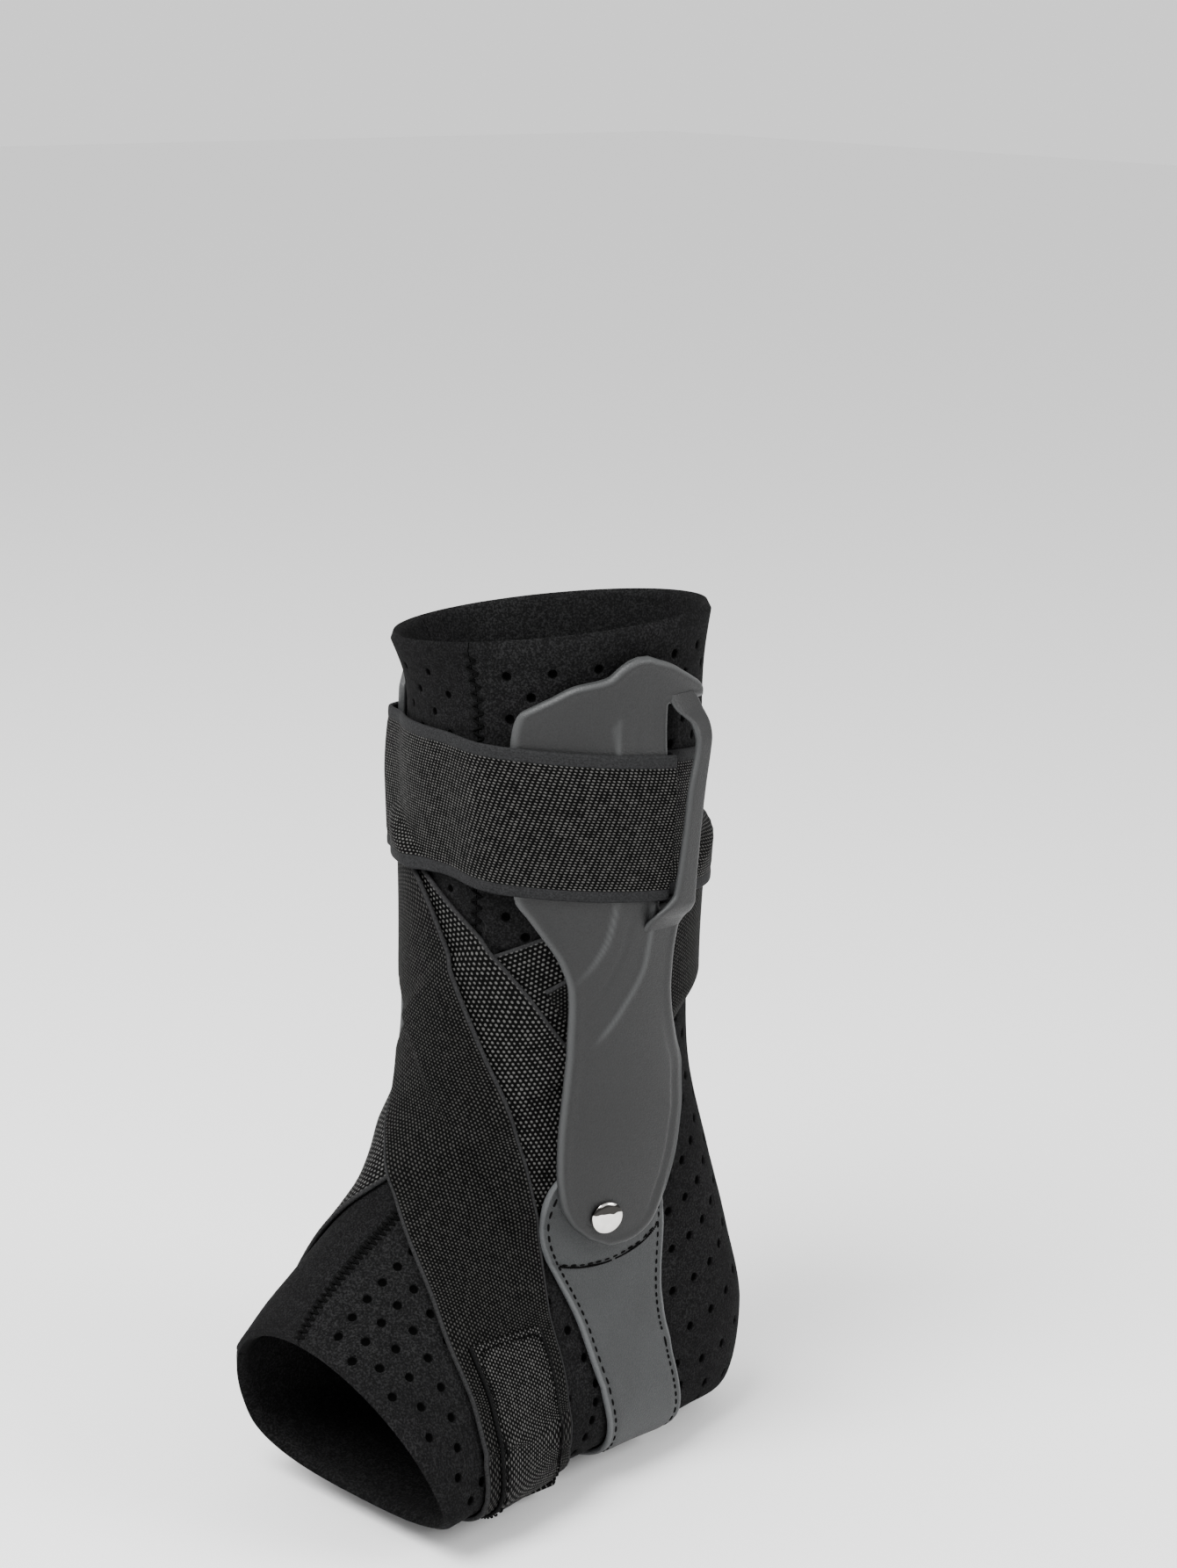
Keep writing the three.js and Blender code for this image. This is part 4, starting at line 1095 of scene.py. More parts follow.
@dataclass
class Sleeve:
    """The knit sleeve and its smoother front panel, with blind perforations and zigzag seams."""

    wall: float = 3.0
    seam_gap: float = 0.3
    rows: int = 52
    sleeve_columns: int = 32
    panel_columns: int = 10
    pit_radius: float = 1.4
    pit_depth: float = 1.3
    pit_sides: int = 12
    # Columns: share of a pit's radius, share of its depth, darkness of the painted shade
    pit_rings: tuple[tuple[float, float, float], ...] = (
        (1.22, 0.0, 0.0), (0.98, 0.22, 0.5), (0.78, 0.75, 1.0), (0.45, 1.0, 1.0),
    )
    panel_pit_radius: float = 0.8
    panel_pit_depth: float = 0.7
    panel_edges: tuple[tuple[float, float, float], ...] = (
        (0.00, -0.200, 0.050),
        (0.45, -0.200, 0.046),
        (0.72, -0.170, 0.040),
        (1.00, -0.150, 0.006),
    )
    zigzag_half: float = 1.9
    zigzag_pitch: float = 3.6
    zigzag_share: float = 0.985
    zigzag_margin: float = 0.008
    zigzag_thread: Thread = Thread(radius=0.36, lift=0.3)
    panel_pits_end: float = 0.6

    def edge(self, along: Array, inner: bool) -> Array:
        """Return the turn of the panel's inner or outer edge."""
        return np.interp(along, column(self.panel_edges, 0), column(self.panel_edges, 1 if inner else 2))

    def turns(self, along: Array, share: Array, panel: bool) -> Array:
        """Return the turn at a share of the way across the sleeve or the panel."""
        half = self.seam_gap / 2 / FORM.girth
        inner, outer = self.edge(along, True), self.edge(along, False)
        low = inner + half if panel else outer + half
        high = outer - half if panel else 1 + inner - half
        return low + (high - low) * share

    def body(self, columns: int, panel: bool, radius: float, depth: float) -> MeshData:
        """Build a knit body whose outer face has a blind pit in every other cell.

        Args:
            columns: Number of cells across.
            panel: Whether this is the front panel.
            radius: The pits' radius.
            depth: The pits' depth.

        Returns:
            The closed mesh.
        """
        r3, c3 = self.rows * 3 + 1, columns * 3 + 1
        along, share = np.meshgrid(np.linspace(0, 1, r3), np.linspace(0, 1, c3), indexing="ij")
        turn = self.turns(along, share, panel)
        point, _, _, normal = FORM.frame_at(along, turn)
        rim = self.wall / 2
        edge_along = np.minimum(along, 1 - along) * FORM.length
        sink = rim - np.sqrt(np.maximum(0, rim**2 - np.maximum(0, rim - edge_along) ** 2))
        outer = point - normal * sink[..., None]
        inner = point - normal * (self.wall - sink)[..., None]
        count = r3 * c3
        points = [outer.reshape(-1, 3), inner.reshape(-1, 3)]
        # Each point's painted shade in the pits, 0 on the plain knit.
        pit_shade = [np.zeros(2 * count)]
        i, j = np.meshgrid(np.arange(self.rows), np.arange(columns), indexing="ij")
        pitted = ((i + j) % 2 == 0) & (i > 0) & (i < self.rows - 1) & (j > 0) & (j < columns - 1)
        if panel:
            pitted &= i < self.rows * self.panel_pits_end
        faces: list[Sequence[int]] = []
        quads = np.array(grid_quads(r3, c3)).reshape(self.rows * 3, columns * 3, 4)
        keep = ~np.repeat(np.repeat(pitted, 3, 0), 3, 1)
        faces.extend(quads[keep].tolist())
        faces.extend((quads.reshape(-1, 4)[:, ::-1] + count).tolist())
        for k in (0, c3 - 1):
            line = np.arange(r3) * c3 + k
            wall = np.stack([line[:-1], line[:-1] + count, line[1:] + count, line[1:]], -1)
            faces.extend((wall if k == 0 else wall[:, ::-1]).tolist())
        for k in (0, r3 - 1):
            line = np.arange(c3) + k * c3
            wall = np.stack([line[:-1], line[1:], line[1:] + count, line[:-1] + count], -1)
            faces.extend((wall if k == 0 else wall[:, ::-1]).tolist())
        cells = np.argwhere(pitted)
        centre_along = along[cells[:, 0] * 3, 0] / 2 + along[cells[:, 0] * 3 + 3, 0] / 2
        centre_turn = self.turns(centre_along, (cells[:, 1] + 0.5) / columns, panel)
        _, du, _, out = FORM.frame_at(centre_along, centre_turn)
        e_down = unit(du)
        e_side = np.cross(out, e_down)
        start = 2 * count
        sides = self.pit_sides
        angles = math.radians(225) + np.arange(sides) * TURN / sides
        per = len(self.pit_rings) * sides + 1
        block = np.empty((len(cells), per, 3))
        shade = np.empty((len(cells), per))
        for n, (size, down, dark) in enumerate(self.pit_rings):
            sin, cos = np.sin(angles)[None, :, None], np.cos(angles)[None, :, None]
            offset = (e_down[:, None] * sin + e_side[:, None] * cos) * (radius * size)
            middle = (np.repeat(centre[:, None], sides, 1) for centre in (centre_along, centre_turn))
            a, t = FORM.moved(*middle, offset)
            ring = slice(n * sides, (n + 1) * sides)
            block[:, ring] = FORM.lifted(a, t, -depth * down)
            # Painted shade, darker deeper in the pit.
            shade[:, ring] = dark
        block[:, -1] = FORM.lifted(centre_along, centre_turn, -depth)
        shade[:, -1] = 1
        points.append(block.reshape(-1, 3))
        pit_shade.append(shade.ravel())
        corner = [(0, 0), (0, 1), (0, 2), (0, 3), (1, 3), (2, 3)]
        corner += [(3 - row, 3 - col) for row, col in corner]
        for n, (row, col) in enumerate(cells):
            base = start + n * per
            frame_line = [(row * 3 + a) * c3 + col * 3 + b for a, b in corner]
            rings = np.arange(base, base + per - 1).reshape(-1, sides).tolist()
            lines = [frame_line, *rings]
            for low, high in zip(lines[:-1], lines[1:]):
                for m in range(sides):
                    k = (m + 1) % sides
                    faces.append([low[m], high[m], high[k], low[k]])
            faces.extend([rings[-1][m], base + per - 1, rings[-1][(m + 1) % sides]] for m in range(sides))
        total = np.vstack(points)
        return MeshData(total, faces, None, {"pit": np.concatenate(pit_shade)})

    def seam(self, inner: bool) -> MeshData:
        """Return the zigzag stitches over one seam."""
        count = round(FORM.length * self.zigzag_share / self.zigzag_pitch)
        along = np.linspace(self.zigzag_margin, 1 - self.zigzag_margin, 2 * count + 1)
        turn = self.edge(along, inner)
        _, _, dv, normal = FORM.frame_at(along, turn)
        reach = np.where(np.arange(len(along)) % 2 == 0, -1, 1) * self.zigzag_half
        a, t = FORM.moved(along, turn, unit(dv) * reach[:, None])
        ends = FORM.lifted(a, t, 0.05)
        return self.zigzag_thread.stitches(ends[:-1], ends[1:], normal[:-1])

    def build(self, finishes: Finishes) -> None:
        """Build the sleeve, the panel and their seams."""
        body = self.body(self.sleeve_columns, False, self.pit_radius, self.pit_depth)
        settle(body.to_object("knit_sleeve"), finishes.knit, ["sleeve"])
        pit = (self.pit_radius * self.panel_pit_radius, self.pit_depth * self.panel_pit_depth)
        panel = self.body(self.panel_columns, True, *pit)
        settle(panel.to_object("knit_front_panel"), finishes.smooth_knit, ["front_panel"])
        stitches = self.seam(False).joined(self.seam(True))
        settle(stitches.to_object("seam_stitching", 80), finishes.thread)


# Routes of the cross straps and of the sole patch, as shares of the leg and turns round it
OUTER_ROUTE = (
    (0.925, 0.485), (0.924, 0.43), (0.920, 0.37), (0.910, 0.308), (0.884, 0.245), (0.848, 0.205),
    (0.80, 0.163), (0.72, 0.121), (0.634, 0.086), (0.547, 0.052), (0.458, 0.010), (0.377, -0.026),
    (0.322, -0.053), (0.282, -0.082), (0.255, -0.13), (0.245, -0.20), (0.245, -0.28), (0.25, -0.38),
    (0.255, -0.50), (0.265, -0.57), (0.285, -0.65), (0.32, -0.73), (0.36, -0.79), (0.386, -0.832),
)
INNER_ROUTE = (
    (0.925, -0.485), (0.924, -0.43), (0.920, -0.36), (0.90, -0.26), (0.86, -0.20), (0.80, -0.15),
    (0.73, -0.11), (0.64, -0.07), (0.55, -0.035), (0.47, 0.005), (0.41, 0.045), (0.37, 0.09),
    (0.345, 0.14), (0.32, 0.20), (0.295, 0.28), (0.275, 0.38), (0.262, 0.50), (0.255, 0.60),
    (0.25, 0.72), (0.255, 0.82), (0.27, 0.90), (0.30, 0.96), (0.335, 1.01), (0.375, 1.05),
    (0.42, 1.083), (0.46, 1.113), (0.50, 1.142), (0.535, 1.164), (0.56, 1.178),
)
SOLE_ROUTE = (
    (0.925, 0.405), (0.926, 0.45), (0.926, 0.55), (0.925, 0.595),
)


@dataclass
class CrossStraps:
    """The two elastic straps crossed over the instep, with the stitched end patch and the sole patch."""

    width: float = 38.0
    patch_width: float = 27.0
    patch_thickness: float = 1.0
    patch_from: float = 26.0
    patch_length: float = 54.0
    sole_patch_width: float = 40.0
    sole_patch_thickness: float = 2.6
    patch_seat: float = 0.15
    patch_inset: float = 1.6
    patch_corner: float = 3.5
    patch_furrow: float = 0.3
    patch_pitch: float = 1.7
    patch_thread: Thread = Thread(radius=0.36, lift=0.3)
    stitch_seat: float = 0.02
    stitch_gap: float = 0.16
    sole_gap: float = 0.6
    front_turn: float = 0.25
    late_turn: float = 0.85
    tail_turn: float = -0.5
    tail_blend: float = 0.06
    hem: float = 3.0
    hem_height: float = 0.5
    column_pitch: float = 1.7
    outer: Track = field(default_factory=lambda: Track(OUTER_ROUTE))
    inner: Track = field(default_factory=lambda: Track(INNER_ROUTE))
    sole: Track = field(default_factory=lambda: Track(SOLE_ROUTE))

    def __post_init__(self) -> None:
        """Lay out the stretches of both straps as layers, the lowest first."""
        self.front_layer = self.stretch(self.inner, high=self.front_turn)
        self.low_layer = self.stretch(self.inner, high=self.late_turn)
        self.high_layer = self.stretch(self.inner, low=self.late_turn, under=[self.front_layer])
        below = [self.low_layer, self.high_layer]
        self.outer_layer = self.stretch(self.outer, low=self.tail_turn, under=below, gap=STACK.crossing)
        self.tail_layer = self.stretch(self.outer, high=self.tail_turn, under=[self.low_layer])

    def stretch(
        self,
        track: Track,
        low: float = -math.inf,
        high: float = math.inf,
        under: Sequence[Layer] = (),
        gap: float = STACK.seat,
    ) -> Layer:
        """Return a stretch of cross strap as a layer.

        Args:
            track: The strap's route.
            low: Turn at which the stretch begins.
            high: Turn before which it ends.
            under: The layers that it may lie on.
            gap: The gap that it keeps to them.

        Returns:
            The layer.
        """
        turn = track.places[:, 2]
        places = track.places[(turn >= low) & (turn < high)]
        return Layer(places, steady(self.width), STACK.cross_strap, under, gap)

    @property
    def layers(self) -> list[Layer]:
        """Return the layers that the straps make together."""
        return [self.low_layer, self.high_layer, self.outer_layer, self.tail_layer]

    def inner_lift(self, points: Array, at: Array) -> Array:
        """Return the height of the inner strap's underside."""
        late = self.inner.read(at)[1] >= self.late_turn
        return np.where(late, self.high_layer.underside(points), self.low_layer.underside(points))

    def outer_lift(self, points: Array, at: Array) -> Array:
        """Return the height of the outer strap's underside."""
        turn = self.outer.read(at)[1]
        late = ease((self.tail_turn + self.tail_blend / 2 - turn) / self.tail_blend)
        return self.outer_layer.underside(points) * (1 - late) + self.tail_layer.underside(points) * late

    def tail_relief(self, at: Array, across: Array, edge: Array) -> Array:
        """Return the raised hem at the outer strap's end."""
        from_end = self.outer.length - at
        return self.hem_height * ease((self.hem + 0.3 - from_end) / 0.6) * ease(edge / 0.8)

    def patch_lift(self, points: Array, at: Array) -> Array:
        """Return the height of the end patch's underside."""
        return self.outer_layer.underside(points) + STACK.cross_strap + self.patch_seat

    def patch_relief(self, at: Array, across: Array, edge: Array) -> Array:
        """Return the furrow that the stitches pull into the end patch."""
        return -self.patch_furrow * bell(edge, self.patch_inset, 0.7)

    def sole_lift(self, points: Array, at: Array) -> Array:
        """Return the height of the sole patch's underside."""
        return np.full(points.shape[:-1], STACK.crossing + STACK.cross_strap + self.sole_gap)

    def patch_stitches(self) -> MeshData:
        """Return the stitched outline of the end patch, round at its two upper corners."""
        half = self.patch_width / 2 - self.patch_inset
        start = self.patch_from + self.patch_inset
        centre = start + self.patch_length - 2 * self.patch_inset - self.patch_corner
        outline = [(start, -half), (centre, -half)]
        for side, first in ((-1, -math.pi / 2), (1, 0.0)):
            for angle in np.linspace(first, first + math.pi / 2, 5):
                across = side * (half - self.patch_corner) + self.patch_corner * math.sin(angle)
                outline.append((centre + self.patch_corner * math.cos(angle), across))
        outline.append((start, half))
        gone = travelled(np.array(outline))
        even = np.arange(0, gone[-1], self.patch_pitch / 2)
        at, across = (np.interp(even, gone, values) for values in np.transpose(outline))
        point, out = self.outer.beside(at, across, back=0.0)
        height = self.patch_lift(point, at) + self.patch_thickness + self.stitch_seat
        ends = point + out * height[:, None]
        count = (len(even) - 1) // 2 * 2
        gap = self.stitch_gap * (ends[1:] - ends[:-1])[0:count:2]
        starts, stops = ends[0:count:2] + gap, ends[1 : count + 1 : 2] + gap * 2
        return self.patch_thread.stitches(starts, stops, out[0:count:2])

    def band(
        self, places: Array, width: float, thickness: float, lift: Lift, relief: Height | None = None
    ) -> MeshData:
        """Return a strap's mesh."""
        section = BandSection(width, thickness, columns=max(8, round(width / self.column_pitch)))
        return Band(places, section, steady(width), lift, relief).mesh()

    def build(self, finishes: Finishes) -> None:
        """Build both straps and what is sewn on them."""
        weave = finishes.weave
        size = (self.width, STACK.cross_strap)
        strap = self.band(self.inner.places, *size, self.inner_lift).to_object("inner_elastic_strap")
        settle(strap, weave[Weave.COARSE], ["inner_cross_strap"])
        outer = self.band(self.outer.places, *size, self.outer_lift, self.tail_relief)
        strap = outer.to_object("outer_elastic_strap")
        settle(strap, weave[Weave.RIBBED], ["outer_cross_strap"])
        places = self.outer.between(self.patch_from, self.patch_from + self.patch_length)
        size = (self.patch_width, self.patch_thickness)
        patch = self.band(places, *size, self.patch_lift, self.patch_relief)
        settle(patch.to_object("stitched_strap_end"), weave[Weave.FINE], ["strap_end_patch"])
        settle(self.patch_stitches().to_object("strap_end_stitching", 80), finishes.thread)
        size = (self.sole_patch_width, self.sole_patch_thickness)
        sole = self.band(self.sole.places, *size, self.sole_lift)
        settle(sole.to_object("folded_sole_patch"), weave[Weave.FINE], ["sole_patch"])


@dataclass
class Stirrup:
    """The leather strap under the heel with its stitched round ears."""

    straps: CrossStraps
    width: float = 32.0
    ear_width: float = 40.0
    narrowing: float = 30.0
    flat_radius: float = 6.0
    rise_width: float = 7.0
    least: float = 5.4
    stitch_inset: float = 2.6
    stitch_end: float = 1.5
    stitch_shift: float = 0.4
    thread: Thread = Thread(radius=0.33, lift=0.2, pitch=2.7, first=1.0, share=0.66)
    thread_sink: float = 0.05
    overlay_drop: float = 10.6
    overlay_inset: float = 3.4
    overlay_step: float = 0.55
    stitch_groove: float = 0.35
    swell: float = 0.25
    swell_width: float = 6.0
    roll_offset: float = 0.9
    roll_cord: Thread = Thread(radius=0.36, lift=0.12)
    route: tuple[tuple[float, float], ...] = (
        (0.69, 0.226), (0.73, 0.252), (0.76, 0.298), (0.785, 0.355), (0.802, 0.42), (0.806, 0.50),
        (0.802, 0.58), (0.785, 0.646), (0.76, 0.703), (0.73, 0.749), (0.69, 0.775),
    )

    @cached_property
    def track(self) -> Track:
        """Return the route from ear to ear."""
        (a0, t0), (a1, t1) = LATERAL.place(), MEDIAL.place()
        reach = self.ear_width / 2 / FORM.length
        ends = ((a0 - reach, t0), (a0, t0 + 0.004)), ((a1, t1 - 0.004), (a1 - reach, t1))
        return Track([*ends[0], *self.route, *ends[1]])

    def width_at(self, at: Array) -> Array:
        """Return the strap's width, round at its ears."""
        from_end = np.minimum(at, self.track.length - at)
        radius = self.ear_width / 2
        short = radius - np.minimum(from_end, radius)
        round_end = 2 * np.sqrt(np.maximum(0, radius**2 - short**2))
        narrowed = ease((from_end - radius) / self.narrowing)
        straight = self.ear_width + (self.width - self.ear_width) * narrowed
        return np.where(from_end < radius, np.maximum(self.least, round_end), straight)

    @cached_property
    def base_layer(self) -> Layer:
        """Return the stirrup as a layer over the inner strap's end."""
        return Layer(self.track.places, self.width_at, STACK.stirrup, [self.straps.high_layer])

    def lift(self, points: Array, at: Array) -> Array:
        """Return the height of the stirrup's underside."""
        axes = [LATERAL.axis()[0], MEDIAL.axis()[0]]
        near = np.min([np.linalg.norm(points - axis, axis=-1) for axis in axes], axis=0)
        raised = ease((self.flat_radius + self.rise_width - near) / self.rise_width)
        ear = STACK.seat + (STACK.ear_lift - STACK.seat) * raised
        return np.maximum(self.base_layer.underside(points), ear)

    def overlay(self, at: Array, across: Array) -> Array:
        """Return how far inside each ear's overlay a point lies, along the strap."""
        radius = self.ear_width / 2
        from_end = np.minimum(at, self.track.length - at)
        bulge = np.sqrt(np.maximum(0, 1 - (across / (radius * 1.02)) ** 2))
        return radius + self.overlay_drop * bulge - from_end

    def relief(self, at: Array, across: Array, edge: Array) -> Array:
        """Return the stirrup's raised ear overlay and its pressed stitch line."""
        inside = self.overlay(at, across)
        step = self.overlay_step * ease((inside + 0.5) / 0.9)
        groove = -self.stitch_groove * bell(edge, self.stitch_inset, 0.8)
        swell = self.swell * ease(edge / self.swell_width)
        return (step + groove + swell) * ease(edge / 1.0)

    def thread_height(self, points: Array, at: Array, across: Array) -> Array:
        """Return the height of thread that is sunk a little into the strap's upper face."""
        relief = self.relief(at, across, self.width_at(at) / 2 - np.abs(across))
        return self.lift(points, at) + STACK.stirrup + relief - self.thread_sink

    def stitches(self) -> MeshData:
        """Return the dashes of thread along both edges and round the ears, with the ears' rolls."""
        total = self.track.length
        at = np.linspace(self.stitch_end, total - self.stitch_end, 1200)
        half = self.width_at(at) / 2 - self.stitch_inset
        sewn = half > 0.3
        edges = [np.column_stack([at[sewn] + self.stitch_shift, side * half[sewn]]) for side in (-1, 1)]
        found = [self.thread.dashes(self.track, outline, self.thread_height) for outline in edges]
        across = np.linspace(-1, 1, 61) * (self.ear_width / 2 - self.overlay_inset)
        reach = self.overlay(np.zeros(61), across) + 0.2
        for at, inward in ((reach, 1), (total - reach, -1)):
            outline = np.column_stack([at, across])
            found.append(self.thread.dashes(self.track, outline, self.thread_height))
            found.append(self.roll(at + inward * self.roll_offset, across))
        return reduce(MeshData.joined, found)

    def roll(self, at: Array, across: Array) -> MeshData:
        """Return the turned edge of an ear's overlay as a fine unbroken cord."""
        point, out = self.track.beside(at, across)
        ends = point + out * self.thread_height(point, at, across)[:, None]
        return self.roll_cord.stitches(ends[:-1], ends[1:], out[:-1])

    def build(self, finishes: Finishes) -> None:
        """Build the stirrup and its stitches."""
        section = BandSection(self.width, STACK.stirrup, columns=30)
        band = Band(self.track.places, section, self.width_at, self.lift, self.relief)
        mesh = band.mesh()
        at, across = mesh.uv[:, 0] * 1000, mesh.uv[:, 1] * 1000
        inside = self.overlay(at, across)
        # The groove value marks the dark line along the overlay's edge, partly painted shade under its
        # step.
        mesh.values["groove"] = bell(inside, -0.7, 0.9) * ease(mesh.values["edge"] / 1.5)
        settle(mesh.to_object("leather_stirrup"), finishes.leather, ["stirrup"])
        settle(self.stitches().to_object("stirrup_stitching", 80), finishes.thread)


@dataclass
class Splint:
    """A moulded side splint: a plate with a slot, and a bar that bridges it."""

    ankle: Ankle
    height: float = 171.0
    width: float = 48.0
    below_rivet: float = 10.0
    lift_at_top: float = 3.2
    slot_front: float = 11.5
    slot_top_below_tip: float = 15.0
    slot_length: float = 57.0
    bar_thickness: float = 2.2
    bar_sunk: float = 0.8
    bar_proud: float = 0.25
    rim_rounding: float = 1.25
    rim_roll: float = 0.3
    rim_inset: float = 1.9
    crease_height: float = 0.35
    crease_slope: float = 0.22
    valley_depth: float = 0.3
    flange_depth: float = 1.0
    flange_width: float = 5.4
    line_width: float = 0.6
    rear_slope: float = 5.0
    front_slope: float = 3.0
    columns: int = 84
    rows: int = 330
    outline: tuple[tuple[float, float, float], ...] = (
        (0.000, 0.030, 0.083), (0.005, -0.010, 0.173), (0.015, -0.081, 0.240), (0.029, -0.135, 0.296),
        (0.043, -0.181, 0.327), (0.082, -0.244, 0.385), (0.129, -0.267, 0.437), (0.193, -0.252, 0.483),
        (0.228, -0.238, 0.502), (0.287, -0.215, 0.498), (0.345, -0.204, 0.437), (0.404, -0.204, 0.385),
        (0.444, -0.210, 0.371), (0.491, -0.250, 0.373), (0.542, -0.333, 0.396), (0.567, -0.375, 0.412),
        (0.599, -0.425, 0.427), (0.696, -0.458, 0.437), (0.854, -0.477, 0.500), (0.883, -0.473, 0.517),
        (0.906, -0.462, 0.525), (0.926, -0.404, 0.529), (0.936, -0.365, 0.510), (0.956, -0.279, 0.406),
        (0.968, -0.129, 0.333), (0.983, -0.079, 0.240), (0.994, -0.031, 0.135), (1.000, 0.020, 0.083),
    )
    bar: tuple[tuple[float, float, float, float], ...] = (
        (0.541, 0.140, 0.396, 0.0), (0.556, 0.150, 0.400, 0.3), (0.572, 0.170, 0.406, 0.8),
        (0.587, 0.215, 0.406, 1.0), (0.603, 0.262, 0.400, 1.0), (0.696, 0.288, 0.400, 1.0),
        (0.772, 0.302, 0.413, 1.0), (0.848, 0.344, 0.448, 1.0), (0.877, 0.333, 0.458, 0.8),
        (0.906, 0.260, 0.458, 0.3), (0.930, 0.229, 0.427, 0.0),
    )
    crease_lines: tuple[tuple[tuple[float, float], ...], ...] = (
        (
            (-14.6, 226.0), (-16.0, 222.0), (-15.0, 205.0), (-14.0, 173.0), (-15.0, 164.0),
            (-18.0, 156.0), (-24.0, 147.0),
        ),
        ((-4.0, 172.0), (-4.0, 168.0), (-5.0, 155.0), (-11.0, 141.0), (-18.0, 130.0)),
    )
    valley_lines: tuple[tuple[tuple[float, float], ...], ...] = (
        ((-11.0, 226.0), (-10.5, 205.0), (-9.5, 173.0), (-11.0, 160.0), (-15.0, 149.0), (-20.0, 140.0)),
    )

    @property
    def base_z(self) -> float:
        """Return the height of the splint's lowest edge."""
        return self.ankle.z - self.below_rivet

    def front(self, up: Array) -> Array:
        """Return the front edge's distance behind the ankle."""
        value = smooth_table(up, self.outline, 1)
        scale = 1 + (self.ankle.wing - 1) * ease((np.asarray(up) - 0.47) / 0.08)
        return np.where(value < 0, value * scale, value) * self.width

    def rear(self, up: Array) -> Array:
        """Return the rear edge's distance behind the ankle."""
        return smooth_table(up, self.outline, 2) * self.width

    def plate_lift(self, up: Array) -> Array:
        """Return the height of the plate's underside, nearer the sleeve at the top."""
        raised = ease((np.asarray(up) - 0.76) / 0.12)
        return STACK.splint_lift + (self.lift_at_top - STACK.splint_lift) * raised

    @property
    def slot_ends(self) -> tuple[float, float]:
        """Return the slot's lower and upper end as shares of the height."""
        top = 1 - self.slot_top_below_tip / self.height
        return top - self.slot_length / self.height, top

    @staticmethod
    def line_distance(y: Array, z: Array, line: Array) -> tuple[Array, Array]:
        """Return each point's distance from a line and how far along it the nearest place is."""
        best = np.full(y.shape, 1e9)
        share = np.zeros(y.shape)
        total = len(line) - 1
        for k in range(total):
            a, b = line[k], line[k + 1]
            d = b - a
            t = np.clip(((y - a[0]) * d[0] + (z - a[1]) * d[1]) / max(d @ d, 1e-9), 0, 1)
            away = np.hypot(y - a[0] - t * d[0], z - a[1] - t * d[1])
            closer = away < best
            best = np.where(closer, away, best)
            share = np.where(closer, (k + t) / total, share)
        return best, share

    def edge_distance(self, y: Array, z: Array) -> Array:
        """Return each point's distance from the plate's outline and its slot."""
        up = np.linspace(0, 1, 260)
        level = self.base_z + up * self.height
        front = np.column_stack([self.ankle.y + self.front(up), level])
        rear = np.column_stack([self.ankle.y + self.rear(up), level])
        low, high = (self.base_z + s * self.height for s in self.slot_ends)
        slot_y = self.ankle.y + self.slot_front
        loop = np.vstack([front, rear[::-1], front[:1]])
        slot = np.array([[slot_y + 40, low], [slot_y, low], [slot_y, high], [slot_y + 40, high]])
        return np.minimum(self.line_distance(y, z, loop)[0], self.line_distance(y, z, slot)[0])

    def drawn(
        self, y: Array, z: Array, lines: Iterable[Sequence[tuple[float, float]]]
    ) -> tuple[Array, Array]:
        """Return the nearness to drawn lines and the signed side of them, mirrored on the inner side."""
        shift_y, shift_z = self.ankle.y - LATERAL.y, self.ankle.z - LATERAL.z
        depth = np.zeros(y.shape)
        slope = np.zeros(y.shape)
        for raw in lines:
            rows = [(b, a, 0) for a, b in sorted(raw, key=lambda p: p[1])]
            level = np.linspace(rows[0][0], rows[-1][0], 60)
            line = np.column_stack([smooth_table(level, rows, 1) + shift_y, level + shift_z])
            away, share = self.line_distance(y, z, line)
            fade = ease(share / 0.16) * ease((1 - share) / 0.06)
            here = np.interp(z, line[:, 1], line[:, 0])
            depth = np.maximum(depth, bell(away, 0.0, self.line_width) * fade)
            side = np.where(y > here, np.exp(-away / self.rear_slope), -np.exp(-away / self.front_slope))
            slope += side * fade * ease(away / self.line_width)
        return depth, slope

    def plate(self) -> MeshData:
        """Return the plate with its rounded rim, slot, creases and lower flange."""
        low, high = self.slot_ends
        tips = np.concatenate([np.linspace(0, 0.03, 14), np.linspace(0.97, 1, 14)])
        up = np.unique(np.round(np.concatenate([np.linspace(0, 1, self.rows), tips, [low, high]]), 5))
        front, rear = self.front(up), self.rear(up)
        split = int(self.columns * 0.62)
        middle = np.clip(self.slot_front, front + 0.35 * (rear - front), front + 0.8 * (rear - front))
        in_slot = (up > low - 1e-4) & (up < high + 1e-4)
        middle = np.where(in_slot, self.slot_front, middle)
        eased = (1 - np.cos(np.linspace(0, math.pi, split + 1))) / 2
        left = front[:, None] + (middle - front)[:, None] * eased[None]
        eased = (1 - np.cos(np.linspace(0, math.pi, self.columns - split + 1))) / 2
        right = middle[:, None] + (rear - middle)[:, None] * eased[None, 1:]
        y = self.ankle.y + np.hstack([left, right])
        z = np.broadcast_to((self.base_z + up * self.height)[:, None], y.shape)
        along, turn = FORM.place_at_side(y, z, self.ankle.side)
        base, _, _, normal = FORM.frame_at(along, turn)
        edge = self.edge_distance(y, z)
        rounding = self.rim_rounding
        fall = rounding - np.sqrt(np.maximum(0, rounding**2 - np.maximum(0, rounding - edge) ** 2))
        crease, slope = self.drawn(y, z, self.crease_lines)
        valley, _ = self.drawn(y, z, self.valley_lines)
        rear_gap = self.ankle.y + rear[:, None] - y
        level = z - self.ankle.z
        ends = ease((level + 4) / 14), ease((58 - level) / 22)
        flange = ease((self.flange_width - rear_gap) / 1.5) * ends[0] * ends[1]
